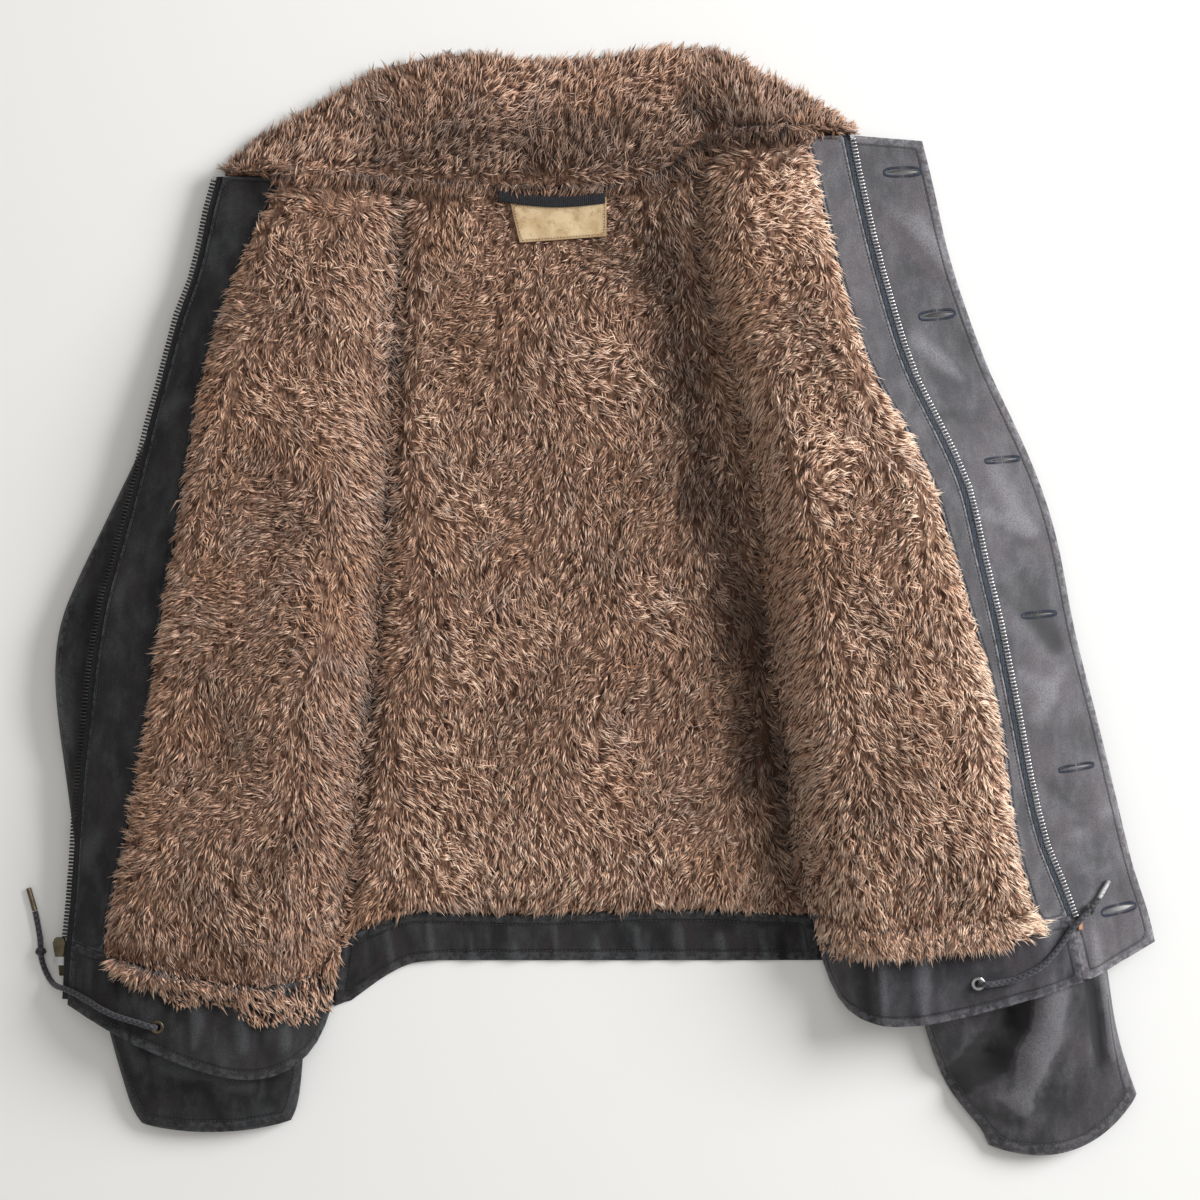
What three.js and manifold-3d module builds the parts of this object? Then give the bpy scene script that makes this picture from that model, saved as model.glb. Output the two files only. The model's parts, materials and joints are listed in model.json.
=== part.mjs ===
// Deck jacket with a pile lining, laid open on its back on a flat surface, its fronts turned out over
// the sleeves. Millimetres, +Z up, +Y towards the collar. Right and left are the wearer's, so the
// right front lies at -X. The origin is under the middle of the jacket.
import * as THREE from 'three';
import { mergeVertices } from 'three/addons/utils/BufferGeometryUtils.js';
import Module from 'manifold-3d';

const wasm = await Module();
wasm.setup();

// Cloth and trim
const cloth = 1.6;          // outer cloth
const facingCloth = 1.4;    // facings and hem bands
const flapCloth = 2.4;      // wind flap, two layers sewn together
const seam = 0.3;           // space left between sewn pieces
const pileDepth = 13;       // pile from its backing to its tips
const sleeveWall = 2;
const layFlat = 2.2;        // height at which a front starts beside the back
const bandRows = 2;         // rows of a front's grid that its hem band covers
const bandShare = 0.075;    // and the share of the front's length that they take

// Zip
const tapeShow = 8;         // tape that shows between the facing and the teeth's outer edge
const teethWide = 3;
const tapeCloth = 0.9;
const teethThick = 2.6;

// Drawstring
const cordRound = 4.6;
const eyeletBore = 2.6;     // radius
const eyeletRim = 5.2;      // radius

// Buttons and buttonholes
const buttonAcross = 19;
const buttonThick = 3.4;
const buttonSetBack = 35;   // from the teeth's outer edge
const holeLong = 26;
const holeOpen = 3.8;
const holeShut = 1.2;

// A smooth curve through [place, value] pairs that never overshoots them.
function glide(knots) {
  const slope = knots.slice(1).map((knot, i) => (knot[1] - knots[i][1]) / (knot[0] - knots[i][0]));
  const lean = knots.map((knot, i) => {
    if (i === 0) return slope[0];
    if (i === slope.length) return slope[i - 1];
    const product = slope[i - 1] * slope[i];
    return product <= 0 ? 0 : (2 * product) / (slope[i - 1] + slope[i]);
  });
  return (place) => {
    const at = THREE.MathUtils.clamp(place, knots[0][0], knots[knots.length - 1][0]);
    let i = 0;
    while (i < slope.length - 1 && at > knots[i + 1][0]) i += 1;
    const wide = knots[i + 1][0] - knots[i][0];
    const t = (at - knots[i][0]) / wide;
    const s = 1 - t;
    return knots[i][1] * s * s * (1 + 2 * t) + knots[i + 1][1] * t * t * (3 - 2 * t)
      + wide * t * s * (lean[i] * s - lean[i + 1] * t);
  };
}

// A table with named columns: each column becomes a smooth function of the first one.
function table(columns, rows) {
  const names = columns.split(' ');
  const found = {};
  names.slice(1).forEach((name, i) => {
    found[name] = glide(rows.map((row) => [row[0], row[i + 1]]));
  });
  return found;
}

// Straight lines through [x, y] corners.
function straight(corners) {
  return (x) => {
    const at = THREE.MathUtils.clamp(x, corners[0][0], corners[corners.length - 1][0]);
    let i = 0;
    while (i < corners.length - 2 && at > corners[i + 1][0]) i += 1;
    const t = (at - corners[i][0]) / (corners[i + 1][0] - corners[i][0]);
    return THREE.MathUtils.lerp(corners[i][1], corners[i + 1][1], t);
  };
}

// Right front: x of its fold beside the back and of its zip edge, width of its facing with the tape,
// height of its underside where it lies on the sleeve and at its zip edge.
const rightLie = table('y foot edge facing crest rim', [
  [-330, -208, -415, 34, 34, 10],
  [-299, -204, -414, 34, 36, 11],
  [-253, -198, -410, 35, 38, 13],
  [-209, -190, -405, 39, 40, 15],
  [-160, -186, -402, 48, 41, 18],
  [-98, -179, -395, 52, 42, 24],
  [-48, -173, -389, 54, 42, 27],
  [2, -168, -380, 51, 42, 28],
  [46, -164, -368, 48, 41, 26],
  [94, -161, -356, 43, 38, 22],
  [139, -159, -345, 38, 35, 19],
  [176, -157, -335, 35, 32, 17],
  [212, -156, -327, 38, 29, 15],
  [256, -155, -311, 37, 24, 13],
  [290, -155, -305, 45, 19, 11],
  [324, -155, -296, 54, 15, 10],
]);

// Left front, with x of the wind flap's free edge and the height there.
const leftLie = table('y foot edge flap facing crest rim hang', [
  [-300, 174, 376, 426, 34, 42, 27, 12],
  [-258, 167, 367, 424, 33, 44, 30, 12],
  [-215, 154, 352, 411, 31, 45, 32, 12],
  [-191, 150, 341, 404, 27, 46, 33, 12],
  [-145, 144, 329, 393, 22, 46, 34, 12],
  [-99, 137, 320, 382, 18, 46, 35, 12],
  [-53, 133, 311, 370, 19, 46, 35, 11],
  [-8, 129, 302, 360, 24, 46, 35, 10],
  [38, 126, 291, 352, 26, 45, 33, 10],
  [84, 121, 281, 339, 29, 42, 30, 9],
  [130, 112, 261, 320, 31, 38, 26, 8],
  [176, 102, 239, 298, 35, 33, 21, 8],
  [222, 90, 225, 281, 36, 27, 17, 7],
  [268, 81, 213, 266, 36, 22, 13, 7],
  [312, 79, 203, 257, 35, 18, 10, 6],
  [356, 80, 194, 246, 38, 15, 8, 6],
]);

// How each front is cut and laid. The dip is how far the hem sags between the fold and the zip edge.
const right = {
  lie: rightLie, out: -1, roll: 46, brow: 62,
  hem: { foot: -314, edge: -305, dip: -52, bow: 0.55 },
  neck: { foot: 317, edge: 324 },
};
const left = {
  lie: leftLie, out: 1, roll: 36, brow: 52,
  hem: { foot: -278, edge: -287, dip: -42, bow: 0.45 },
  neck: { foot: 350, edge: 356 },
};
const flapRise = { hem: 26, neck: -4 };    // free edge against the zip edge

// Neck seam, from the right zip edge to the left one.
const neckCorners = [
  [-296, 324], [-155, 317], [-100, 315], [-42, 314], [8, 315], [42, 320], [62, 332], [80, 350], [198, 356],
];
const neckLine = straight(neckCorners);
const backHem = (x) => -277 - 36 * (1 - THREE.MathUtils.smoothstep(x, -207, -140));
const backBandTop = (x) => backHem(x) * 0.62 - 68.5 + 2 * Math.sin(x / 37);

// Soft folds on the fronts: a ridge from one point to another, its half width and height.
const frontFolds = [
  { from: [-300, -180], to: [-236, -40], wide: 26, high: 2.6 },
  { from: [-330, 20], to: [-240, 90], wide: 24, high: -2.2 },
  { from: [-290, 150], to: [-200, 250], wide: 26, high: 2 },
  { from: [250, -200], to: [200, -60], wide: 26, high: 2.4 },
  { from: [284, 20], to: [180, 60], wide: 28, high: -2.4 },
  { from: [376, -190], to: [352, -60], wide: 24, high: 2.6 },
  { from: [330, 40], to: [296, 150], wide: 22, high: -1.8 },
  { from: [190, 120], to: [130, 240], wide: 24, high: 1.8 },
];

// Sleeve creases, nearly all near the elbow and the cuff.
const sleeveFolds = [
  { from: [-410, -40], to: [-330, -10], wide: 12, high: -3 },
  { from: [-414, -90], to: [-340, -70], wide: 14, high: -2.4 },
  { from: [-392, 30], to: [-330, 30], wide: 12, high: -2.6 },
  { from: [-350, -350], to: [-300, -392], wide: 10, high: -2.6 },
  { from: [-270, -346], to: [-250, -390], wide: 9, high: -2 },
  { from: [322, -300], to: [284, -380], wide: 10, high: -6 },
  { from: [345, -318], to: [330, -380], wide: 12, high: 3 },
  { from: [388, -300], to: [372, -350], wide: 9, high: -2.6 },
];

function foldHeight(folds, x, y) {
  let sum = 0;
  for (const fold of folds) {
    const alongX = fold.to[0] - fold.from[0];
    const alongY = fold.to[1] - fold.from[1];
    const long = Math.hypot(alongX, alongY);
    const t = ((x - fold.from[0]) * alongX + (y - fold.from[1]) * alongY) / (long * long);
    const side = ((x - fold.from[0]) * alongY - (y - fold.from[1]) * alongX) / long;
    const past = Math.max(0, Math.abs(t - 0.5) - 0.5) * long;
    sum += fold.high * Math.exp(-(side * side + past * past * 0.5) / (fold.wide * fold.wide));
  }
  return sum;
}

// Height of the underside of a front's outer cloth above the surface.
function cover(side, x, y) {
  const { lie } = side;
  const foot = lie.foot(y);
  const wide = Math.abs(lie.edge(y) - foot);
  const off = (x - foot) * side.out;
  const knots = [
    [0, layFlat], [side.roll, lie.crest(y)], [wide - side.brow, lie.crest(y) + 1], [wide, lie.rim(y)],
  ];
  if (lie.flap) knots.push([Math.abs(lie.flap(y) - foot), lie.hang(y)]);
  const inside = THREE.MathUtils.smoothstep(off, 8, 45);
  return glide(knots)(off) + inside * foldHeight(frontFolds, x, y);
}

// A layer's thickness counted upwards, so that it stays true on a slope.
function steepness(height, x, y) {
  const step = 2;
  const alongX = (height(x + step, y) - height(x - step, y)) / (2 * step);
  const alongY = (height(x, y + step) - height(x, y - step)) / (2 * step);
  return Math.min(1.6, Math.hypot(1, alongX, alongY));
}

// A place on a front: across 0 to 1 from the fold to the zip edge, along 0 to 1 from hem to neck.
function frontPlace(side, across, along) {
  const { hem, neck, lie } = side;
  const sag = hem.dip * Math.sin(Math.PI * THREE.MathUtils.clamp(across, 0, 1) ** hem.bow);
  const low = THREE.MathUtils.lerp(hem.foot, hem.edge, across);
  const high = THREE.MathUtils.lerp(neck.foot, neck.edge, across);
  const y = THREE.MathUtils.lerp(low, high, along) + sag * (1 - along) ** 8;
  const x = THREE.MathUtils.lerp(lie.foot(y), lie.edge(y), across);
  return [x, y];
}

// A grid point with its height and steepness, which every layer on the panel shares.
function gridPoint(height, x, y) {
  return { x, y, z: height(x, y), steep: steepness(height, x, y) };
}

// A closed wall between two heights over a grid of points.
function wall(grid, low, high) {
  const rows = grid.length;
  const columns = grid[0].length;
  const position = [];
  for (const level of [low, high]) {
    grid.forEach((row, j) => row.forEach((point, i) => {
      position.push(point.x, point.y, level(point, i, j));
    }));
  }
  const index = [];
  const at = (level, j, i) => level * rows * columns + j * columns + i;
  const quad = (a, b, c, d) => index.push(a, b, c, a, c, d);
  for (let j = 0; j < rows - 1; j += 1) {
    for (let i = 0; i < columns - 1; i += 1) {
      quad(at(1, j, i), at(1, j, i + 1), at(1, j + 1, i + 1), at(1, j + 1, i));
      quad(at(0, j, i), at(0, j + 1, i), at(0, j + 1, i + 1), at(0, j, i + 1));
    }
  }
  for (let i = 0; i < columns - 1; i += 1) {
    quad(at(0, 0, i), at(0, 0, i + 1), at(1, 0, i + 1), at(1, 0, i));
    quad(at(0, rows - 1, i + 1), at(0, rows - 1, i), at(1, rows - 1, i), at(1, rows - 1, i + 1));
  }
  for (let j = 0; j < rows - 1; j += 1) {
    quad(at(0, j + 1, 0), at(0, j, 0), at(1, j, 0), at(1, j + 1, 0));
    quad(at(0, j, columns - 1), at(0, j + 1, columns - 1), at(1, j + 1, columns - 1), at(1, j, columns - 1));
  }
  return outward(position, index);
}

// Faces turned out: a grid that runs the other way round gives them inside out.
function outward(position, index) {
  let volume = 0;
  const corner = (n) => new THREE.Vector3().fromArray(position, index[n] * 3);
  for (let n = 0; n < index.length; n += 3) volume += corner(n).dot(corner(n + 1).cross(corner(n + 2)));
  const turned = index.slice();
  if (volume < 0) {
    for (let n = 0; n < index.length; n += 3) [turned[n + 1], turned[n + 2]] = [index[n + 2], index[n + 1]];
  }
  const geometry = new THREE.BufferGeometry();
  geometry.setAttribute('position', new THREE.Float32BufferAttribute(position, 3));
  geometry.setIndex(turned);
  return geometry;
}

// Part of a grid, its border drawn in by half a seam so that neighbours stand a seam apart.
function piece(grid, [fromRow, toRow], [fromColumn, toColumn]) {
  const part = grid.slice(fromRow, toRow + 1).map((row) => row.slice(fromColumn, toColumn + 1));
  const rows = part.length - 1;
  const columns = part[0].length - 1;
  const shift = (point, near) => {
    const long = Math.hypot(near.x - point.x, near.y - point.y);
    const t = Math.min(0.4, (seam * 0.6) / long);
    return { ...point, x: point.x + (near.x - point.x) * t, y: point.y + (near.y - point.y) * t,
      z: point.z + (near.z - point.z) * t };
  };
  return part.map((row, j) => row.map((point, i) => {
    let moved = point;
    if (i === 0) moved = shift(moved, part[j][1]);
    if (i === columns) moved = shift(moved, part[j][columns - 1]);
    if (j === 0) moved = shift(moved, part[1][i]);
    if (j === rows) moved = shift(moved, part[rows - 1][i]);
    return moved;
  }));
}

const lift = (amount) => (point) => point.z + amount * point.steep;

// Pile thins towards its borders, each side of the piece to its own depth, and is a little lumpy.
function pileTop(grid, borders, dent = () => 0) {
  const rows = grid.length - 1;
  const columns = grid[0].length - 1;
  const round = 15;
  const depthAt = (point, i, j) => {
    const near = [
      [grid[j][0], borders.first], [grid[j][columns], borders.last],
      [grid[0][i], borders.start], [grid[rows][i], borders.end],
    ];
    let share = 1;
    for (const [rim, least] of near) {
      const off = Math.min(1, Math.hypot(point.x - rim.x, point.y - rim.y) / round);
      share = Math.min(share, least + (1 - least) * Math.sqrt(1 - (1 - off) ** 2));
    }
    const lumps = Math.sin(point.x / 17 + point.y / 29) * Math.sin(point.y / 21 - point.x / 43);
    const press = dent(point.x, point.y);
    return pileDepth * share * (1 - press * 0.4) + lumps * 0.9 * share * (1 - press);
  };
  return (point, i, j) => point.z + (cloth + seam) * point.steep + depthAt(point, i, j) * point.steep ** 0.5;
}

// Even steps that close up towards both ends.
const spread = (count) => Array.from({ length: count + 1 }, (_, i) => {
  const t = i / count;
  return THREE.MathUtils.lerp(t, 0.5 - 0.5 * Math.cos(Math.PI * t), 0.7);
});

const parts = [];
const colours = {
  cloth: [0x35323a, 0.92, 0], pile: [0x7d5f45, 1, 0], tape: [0x1b2233, 0.85, 0], steel: [0xb9bcc0, 0.32, 1],
  brass: [0x5d5642, 0.45, 1], copper: [0xa8704a, 0.4, 1], button: [0x14151a, 0.45, 0], label: [0xcdb98d, 0.9, 0],
  cord: [0x1d2029, 0.9, 0],
};

function add(name, geometry, finish, place) {
  const [color, roughness, metalness] = colours[finish];
  const mesh = new THREE.Mesh(geometry, new THREE.MeshStandardMaterial({ color, roughness, metalness }));
  mesh.name = name;
  if (place) {
    mesh.position.copy(place.position);
    if (place.quaternion) mesh.quaternion.copy(place.quaternion);
  }
  parts.push(mesh);
  return mesh;
}

function toSolid(geometry) {
  const bare = geometry.clone();
  bare.deleteAttribute('normal');
  bare.deleteAttribute('uv');
  const merged = mergeVertices(bare, 1e-4);
  return new wasm.Manifold(new wasm.Mesh({
    numProp: 3,
    vertProperties: Float32Array.from(merged.attributes.position.array),
    triVerts: Uint32Array.from(merged.index.array),
  }));
}

function fromSolid(solid) {
  const mesh = solid.getMesh();
  const geometry = new THREE.BufferGeometry();
  geometry.setAttribute('position', new THREE.BufferAttribute(Float32Array.from(mesh.vertProperties), 3));
  geometry.setIndex(Array.from(mesh.triVerts));
  return geometry;
}

// The way a surface faces at a place.
function facingUp(height, x, y) {
  const step = 3;
  const alongX = (height(x + step, y) - height(x - step, y)) / (2 * step);
  const alongY = (height(x, y + step) - height(x, y - step)) / (2 * step);
  return new THREE.Vector3(-alongX, -alongY, 1).normalize();
}

const upright = new THREE.Vector3(0, 0, 1);
const turnTo = (direction) => new THREE.Quaternion().setFromUnitVectors(upright, direction);

// The rows of a front: two for the hem band, then the rest up to the neck.
const rowsAbove = 22;
const frontRows = [0, bandShare * 0.5, bandShare, ...Array.from({ length: rowsAbove }, (_, i) => (
  bandShare + (1 - bandShare) * ((i + 1) / rowsAbove)
))];
const lastRow = frontRows.length - 1;
const pileColumns = 10;

function frontGrid(side) {
  const height = (x, y) => cover(side, x, y);
  return frontRows.map((along) => {
    const [edgeX, edgeY] = frontPlace(side, 1, along);
    const wide = Math.abs(edgeX - frontPlace(side, 0, along)[0]);
    const pileEnd = 1 - side.lie.facing(edgeY) / wide;
    const clothEnd = 1 - tapeShow / wide;
    const across = [
      ...spread(pileColumns).map((t) => t * pileEnd),
      (pileEnd + clothEnd) / 2,
      clothEnd,
    ];
    return across.map((t) => gridPoint(height, ...frontPlace(side, t, along)));
  });
}

function zipGrid(side, offsets) {
  const height = (x, y) => cover(side, x, y);
  return frontRows.map((along) => {
    const [edgeX, edgeY] = frontPlace(side, 1, along);
    return offsets.map((off) => gridPoint(height, edgeX - side.out * off, edgeY));
  });
}

function buildFront(side, name) {
  const grid = frontGrid(side);
  const whole = piece(grid, [0, lastRow], [0, pileColumns + 2]);
  add(`${name}_front_shell`, wall(whole, lift(0), lift(cloth)), 'cloth');
  const band = piece(grid, [0, bandRows], [0, pileColumns + 2]);
  add(`${name}_front_hem_band`, cutEyelet(side, wall(band, lift(cloth + seam), lift(cloth + seam + facingCloth))),
    'cloth');
  const facing = piece(grid, [bandRows, lastRow], [pileColumns, pileColumns + 2]);
  add(`${name}_front_facing`, wall(facing, lift(cloth + seam), lift(cloth + seam + facingCloth)), 'cloth');
  const pile = piece(grid, [bandRows, lastRow], [0, pileColumns]);
  const borders = { first: 0.3, last: 0.35, start: 0.35, end: 0.7 };
  add(`${name}_front_pile`, wall(pile, lift(cloth + seam), pileTop(pile, borders)), 'pile');
}

// Eyelets in the hem bands, where the drawstring comes out.
const eyelets = { right: [-334, -322], left: [284, -288] };
const bandTop = (side) => (x, y) => {
  const height = (px, py) => cover(side, px, py);
  return cover(side, x, y) + (cloth + seam + facingCloth) * steepness(height, x, y);
};

function eyeletPlace(side) {
  const [x, y] = side === right ? eyelets.right : eyelets.left;
  const top = bandTop(side);
  const normal = facingUp(top, x, y);
  return { normal, position: new THREE.Vector3(x, y, top(x, y)), quaternion: turnTo(normal) };
}

function cutEyelet(side, band) {
  const place = eyeletPlace(side);
  const drill = new THREE.CylinderGeometry(eyeletBore + 0.6, eyeletBore + 0.6, 8, 16);
  drill.rotateX(Math.PI / 2);
  drill.applyQuaternion(place.quaternion);
  drill.translate(place.position.x, place.position.y, place.position.z);
  return fromSolid(toSolid(band).subtract(toSolid(drill)));
}

function eyeletShape() {
  const profile = [
    [eyeletBore, 0], [eyeletRim, 0], [eyeletRim, 0.5], [eyeletRim - 0.7, 1.1], [eyeletBore + 0.5, 1.1],
    [eyeletBore, 0.6], [eyeletBore, 0],
  ];
  const ring = new THREE.LatheGeometry(profile.map(([r, z]) => new THREE.Vector2(r, z)), 16);
  ring.rotateX(Math.PI / 2);
  return ring;
}

// Back: a flat panel whose sides end in the armholes, with the pile and the hem band on it.
const backColumns = 14;
const backPileRows = 21;
const valleyGap = 1;        // between the back's lining and a front's fold
const underarm = { right: [-184, 128], left: [138, 150] };
const shoulder = { right: [-277, 258], left: [216, 254] };

// A point beside a sleeve's end, on the back's side of the armhole seam.
function besideArmhole(name, t) {
  const [ax, ay] = underarm[name];
  const [bx, by] = shoulder[name];
  const long = Math.hypot(bx - ax, by - ay);
  const inward = name === 'right' ? 1 : -1;
  const gap = seam + 0.1;
  return [
    THREE.MathUtils.lerp(ax, bx, t) + (inward * gap * (by - ay)) / long * Math.sign(1),
    THREE.MathUtils.lerp(ay, by, t) + (gap * Math.abs(bx - ax)) / long,
  ];
}

function backOutline() {
  const outline = [];
  const sideOff = 7;
  for (let n = 0; n <= 20; n += 1) {
    const x = THREE.MathUtils.lerp(-211, 179, n / 20);
    outline.push([x, backHem(x)]);
  }
  for (const y of [-230, -180, -130, -80, -30, 20, 70]) outline.push([leftLie.foot(y) + sideOff, y]);
  outline.push([underarm.left[0] - 8, underarm.left[1] - 28], besideArmhole('left', 0), besideArmhole('left', 1));
  for (const [x, y] of neckCorners.slice(1, -1).reverse()) outline.push([x, y - seam]);
  outline.push(besideArmhole('right', 1), besideArmhole('right', 0));
  outline.push([underarm.right[0] + 9, underarm.right[1] - 26]);
  for (const y of [60, 10, -40, -90, -140, -190, -240, -285]) outline.push([rightLie.foot(y) - sideOff, y]);
  return outline;
}

function buildBack() {
  const shape = new THREE.Shape(backOutline().map(([x, y]) => new THREE.Vector2(x, y)));
  add('back_shell', new THREE.ExtrudeGeometry(shape, { depth: cloth, bevelEnabled: false }), 'cloth');

  const flat = (x, y) => ({ x, y, z: 0, steep: 1 });
  const across = spread(backColumns);
  const between = (t, lowY, highY, up) => {
    let x = THREE.MathUtils.lerp(-200, 165, t);
    let y = 0;
    for (let turn = 0; turn < 4; turn += 1) {
      y = THREE.MathUtils.lerp(lowY(x), highY(x), up);
      x = THREE.MathUtils.lerp(rightLie.foot(y) + valleyGap, leftLie.foot(y) - valleyGap, t);
    }
    return flat(x, y);
  };
  const bandGrid = [0, 0.5, 1].map((up) => across.map((t) => (
    between(t, (x) => backHem(x) + 0.4, (x) => backBandTop(x) - 0.4, up)
  )));
  const pucker = (point, i, j) => (
    cloth + seam + facingCloth + (j === 1 ? 1.1 + Math.sin(point.x / 9) : 0)
  );
  const bandPiece = piece(bandGrid, [0, 2], [0, backColumns]);
  add('back_hem_band', wall(bandPiece, () => cloth + seam, pucker), 'cloth');

  const pileGrid = spread(backPileRows).map((up) => across.map((t) => (
    between(t, (x) => backBandTop(x) + 0.4, (x) => neckLine(x) - 1, up)
  )));
  const pile = piece(pileGrid, [0, backPileRows], [0, backColumns]);
  const borders = { first: 0.35, last: 0.35, start: 0.35, end: 0.75 };
  add('back_pile', wall(pile, () => cloth + seam, pileTop(pile, borders, labelDent)), 'pile');
}

// The size label and hanger loop press the pile down around them.
const label = { x: -30, y: 291, wide: 70, tall: 30 };
const pressed = cloth + seam + pileDepth * 0.6;

function labelDent(x, y) {
  const offX = Math.max(0, Math.abs(x - label.x) - label.wide / 2 - 18);
  const offY = Math.max(0, Math.abs(y - label.y - 8) - label.tall / 2 - 16);
  return 1 - THREE.MathUtils.smoothstep(Math.hypot(offX, offY), 0, 26);
}

function buildNeckTrim() {
  const slant = 7;          // the label's left end is cut at a slant
  const labelGrid = [-0.5, 0, 0.5].map((up) => [-0.5, -0.17, 0.17, 0.5].map((t) => ({
    x: label.x + t * label.wide - (t < 0 ? up * slant : 0), y: label.y + up * label.tall + t * 5, z: 0, steep: 1,
  })));
  add('size_label', wall(labelGrid, () => pressed + seam, () => pressed + seam + 0.9), 'label');
  const loopLong = 82;
  const loopWide = 8;
  const sagAt = (t) => -4 * Math.sin(Math.PI * t);
  const loopGrid = [-0.5, 0.5].map((up) => Array.from({ length: 11 }, (_, i) => {
    const t = i / 10;
    return { x: -78 + t * loopLong, y: 309.5 - t * 2 + sagAt(t) + up * loopWide, z: 0, steep: 1 };
  }));
  add('hanger_loop', wall(loopGrid, () => pressed + seam + 1.2, () => pressed + seam + 3.4), 'tape');
}

// Collar, spread flat: x along the neck seam, x and y of its free edge.
const collarLine = table('x edgeX edgeY', [
  [-288, -287, 333],
  [-259, -262, 355],
  [-230, -229, 373],
  [-196, -195, 394],
  [-158, -161, 410],
  [-100, -101, 419],
  [-42, -42, 414],
  [8, 11, 418],
  [42, 50, 424],
  [69, 84, 423],
  [88, 107, 416],
  [123, 130, 402],
  [158, 162, 385],
  [197, 196, 364],
]);

function collarNeckHeight(x) {
  if (x < -155) return cover(right, x, neckLine(x) - 1);
  if (x > 80) return cover(left, x, neckLine(x) - 1);
  return layFlat;
}

function buildCollar() {
  const stops = [
    -287, -272, -256, -238, -220, -198, -176, -155, -136, -118, -100, -80, -61, -42, -25, -8, 8, 25, 42, 52, 62,
    71, 80, 98, 118, 140, 160, 180, 196,
  ];
  const ups = spread(6);
  const grid = ups.map((up) => stops.map((x) => {
    const edgeX = collarLine.edgeX(x);
    const edgeY = collarLine.edgeY(x);
    const rest = THREE.MathUtils.smoothstep(up, 0, 0.75);
    const height = THREE.MathUtils.lerp(collarNeckHeight(x), 0, rest);
    return {
      x: THREE.MathUtils.lerp(x, edgeX, up),
      y: THREE.MathUtils.lerp(neckLine(x) + 0.6, edgeY, up),
      z: height,
      steep: 1.1,
    };
  }));
  const last = stops.length - 1;
  const shell = piece(grid, [0, 6], [0, last]);
  add('collar_shell', wall(shell, lift(0), lift(cloth)), 'cloth');
  const borders = { first: 0.4, last: 0.4, start: 0.75, end: 0.35 };
  const pile = piece(grid, [0, 6], [0, last]);
  add('collar_pile', wall(pile, lift(cloth + seam), pileTop(pile, borders)), 'pile');
}

// Sleeves, from the cuff to the armhole: x and y of the outer and the inner edge, height of the upper
// side, and how far the row bows towards the cuff.
const sleeveRows = {
  right: [
    { outer: [-352, -401], inner: [-237, -399], loft: 14, bow: 7 },
    { outer: [-359, -391], inner: [-232, -389], loft: 17, bow: 6 },
    { outer: [-365, -371], inner: [-229, -368], loft: 21, bow: 4 },
    { outer: [-374, -341], inner: [-227, -338], loft: 26, bow: 2 },
    { outer: [-384, -300], inner: [-227, -298], loft: 31, bow: 0 },
    { outer: [-394, -246], inner: [-229, -246], loft: 35, bow: 0 },
    { outer: [-403, -190], inner: [-231, -196], loft: 38, bow: 0 },
    { outer: [-409, -140], inner: [-231, -148], loft: 39, bow: 0 },
    { outer: [-416, -92], inner: [-230, -102], loft: 39, bow: 0 },
    { outer: [-419, -52], inner: [-228, -60], loft: 38, bow: 0 },
    { outer: [-415, -18], inner: [-225, -18], loft: 38, bow: 0 },
    { outer: [-402, 14], inner: [-219, 24], loft: 37, bow: 0 },
    { outer: [-384, 50], inner: [-211, 62], loft: 35, bow: 0 },
    { outer: [-360, 100], inner: [-201, 92], loft: 32, bow: 0 },
    { outer: [-322, 178], inner: [-192, 114], loft: 28, bow: 0 },
    { outer: shoulder.right, inner: underarm.right, loft: 22, bow: 0 },
  ],
  left: [
    { outer: [412, -379], inner: [298, -418], loft: 13, bow: 24 },
    { outer: [407, -366], inner: [293, -406], loft: 16, bow: 22 },
    { outer: [401, -348], inner: [274, -387], loft: 21, bow: 15 },
    { outer: [395, -325], inner: [258, -357], loft: 26, bow: 8 },
    { outer: [391, -296], inner: [248, -324], loft: 31, bow: 3 },
    { outer: [386, -262], inner: [238, -284], loft: 36, bow: 0 },
    { outer: [376, -214], inner: [227, -236], loft: 40, bow: 0 },
    { outer: [362, -154], inner: [208, -177], loft: 42, bow: 0 },
    { outer: [346, -92], inner: [192, -116], loft: 42, bow: 0 },
    { outer: [330, -31], inner: [180, -54], loft: 42, bow: 0 },
    { outer: [311, 31], inner: [170, 8], loft: 40, bow: 0 },
    { outer: [289, 92], inner: [160, 62], loft: 37, bow: 0 },
    { outer: [258, 166], inner: [150, 112], loft: 33, bow: 0 },
    { outer: shoulder.left, inner: underarm.left, loft: 22, bow: 0 },
  ],
};
const sleeveRound = 20;       // points around a sleeve
const sleeveClear = 3.2;      // between a sleeve and the front that lies on it
const coverEnds = { right: -374, left: -334 };

function sleeveCeiling(side, name, x, y) {
  if (y < coverEnds[name]) return Infinity;
  const buttonOff = (x - side.lie.edge(y)) * -side.out - buttonSetBack;
  const buttonRoom = name === 'right' ? 5.2 * Math.exp(-((buttonOff / 22) ** 2)) : 0;
  return cover(side, x, y) - sleeveClear - buttonRoom;
}

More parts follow.
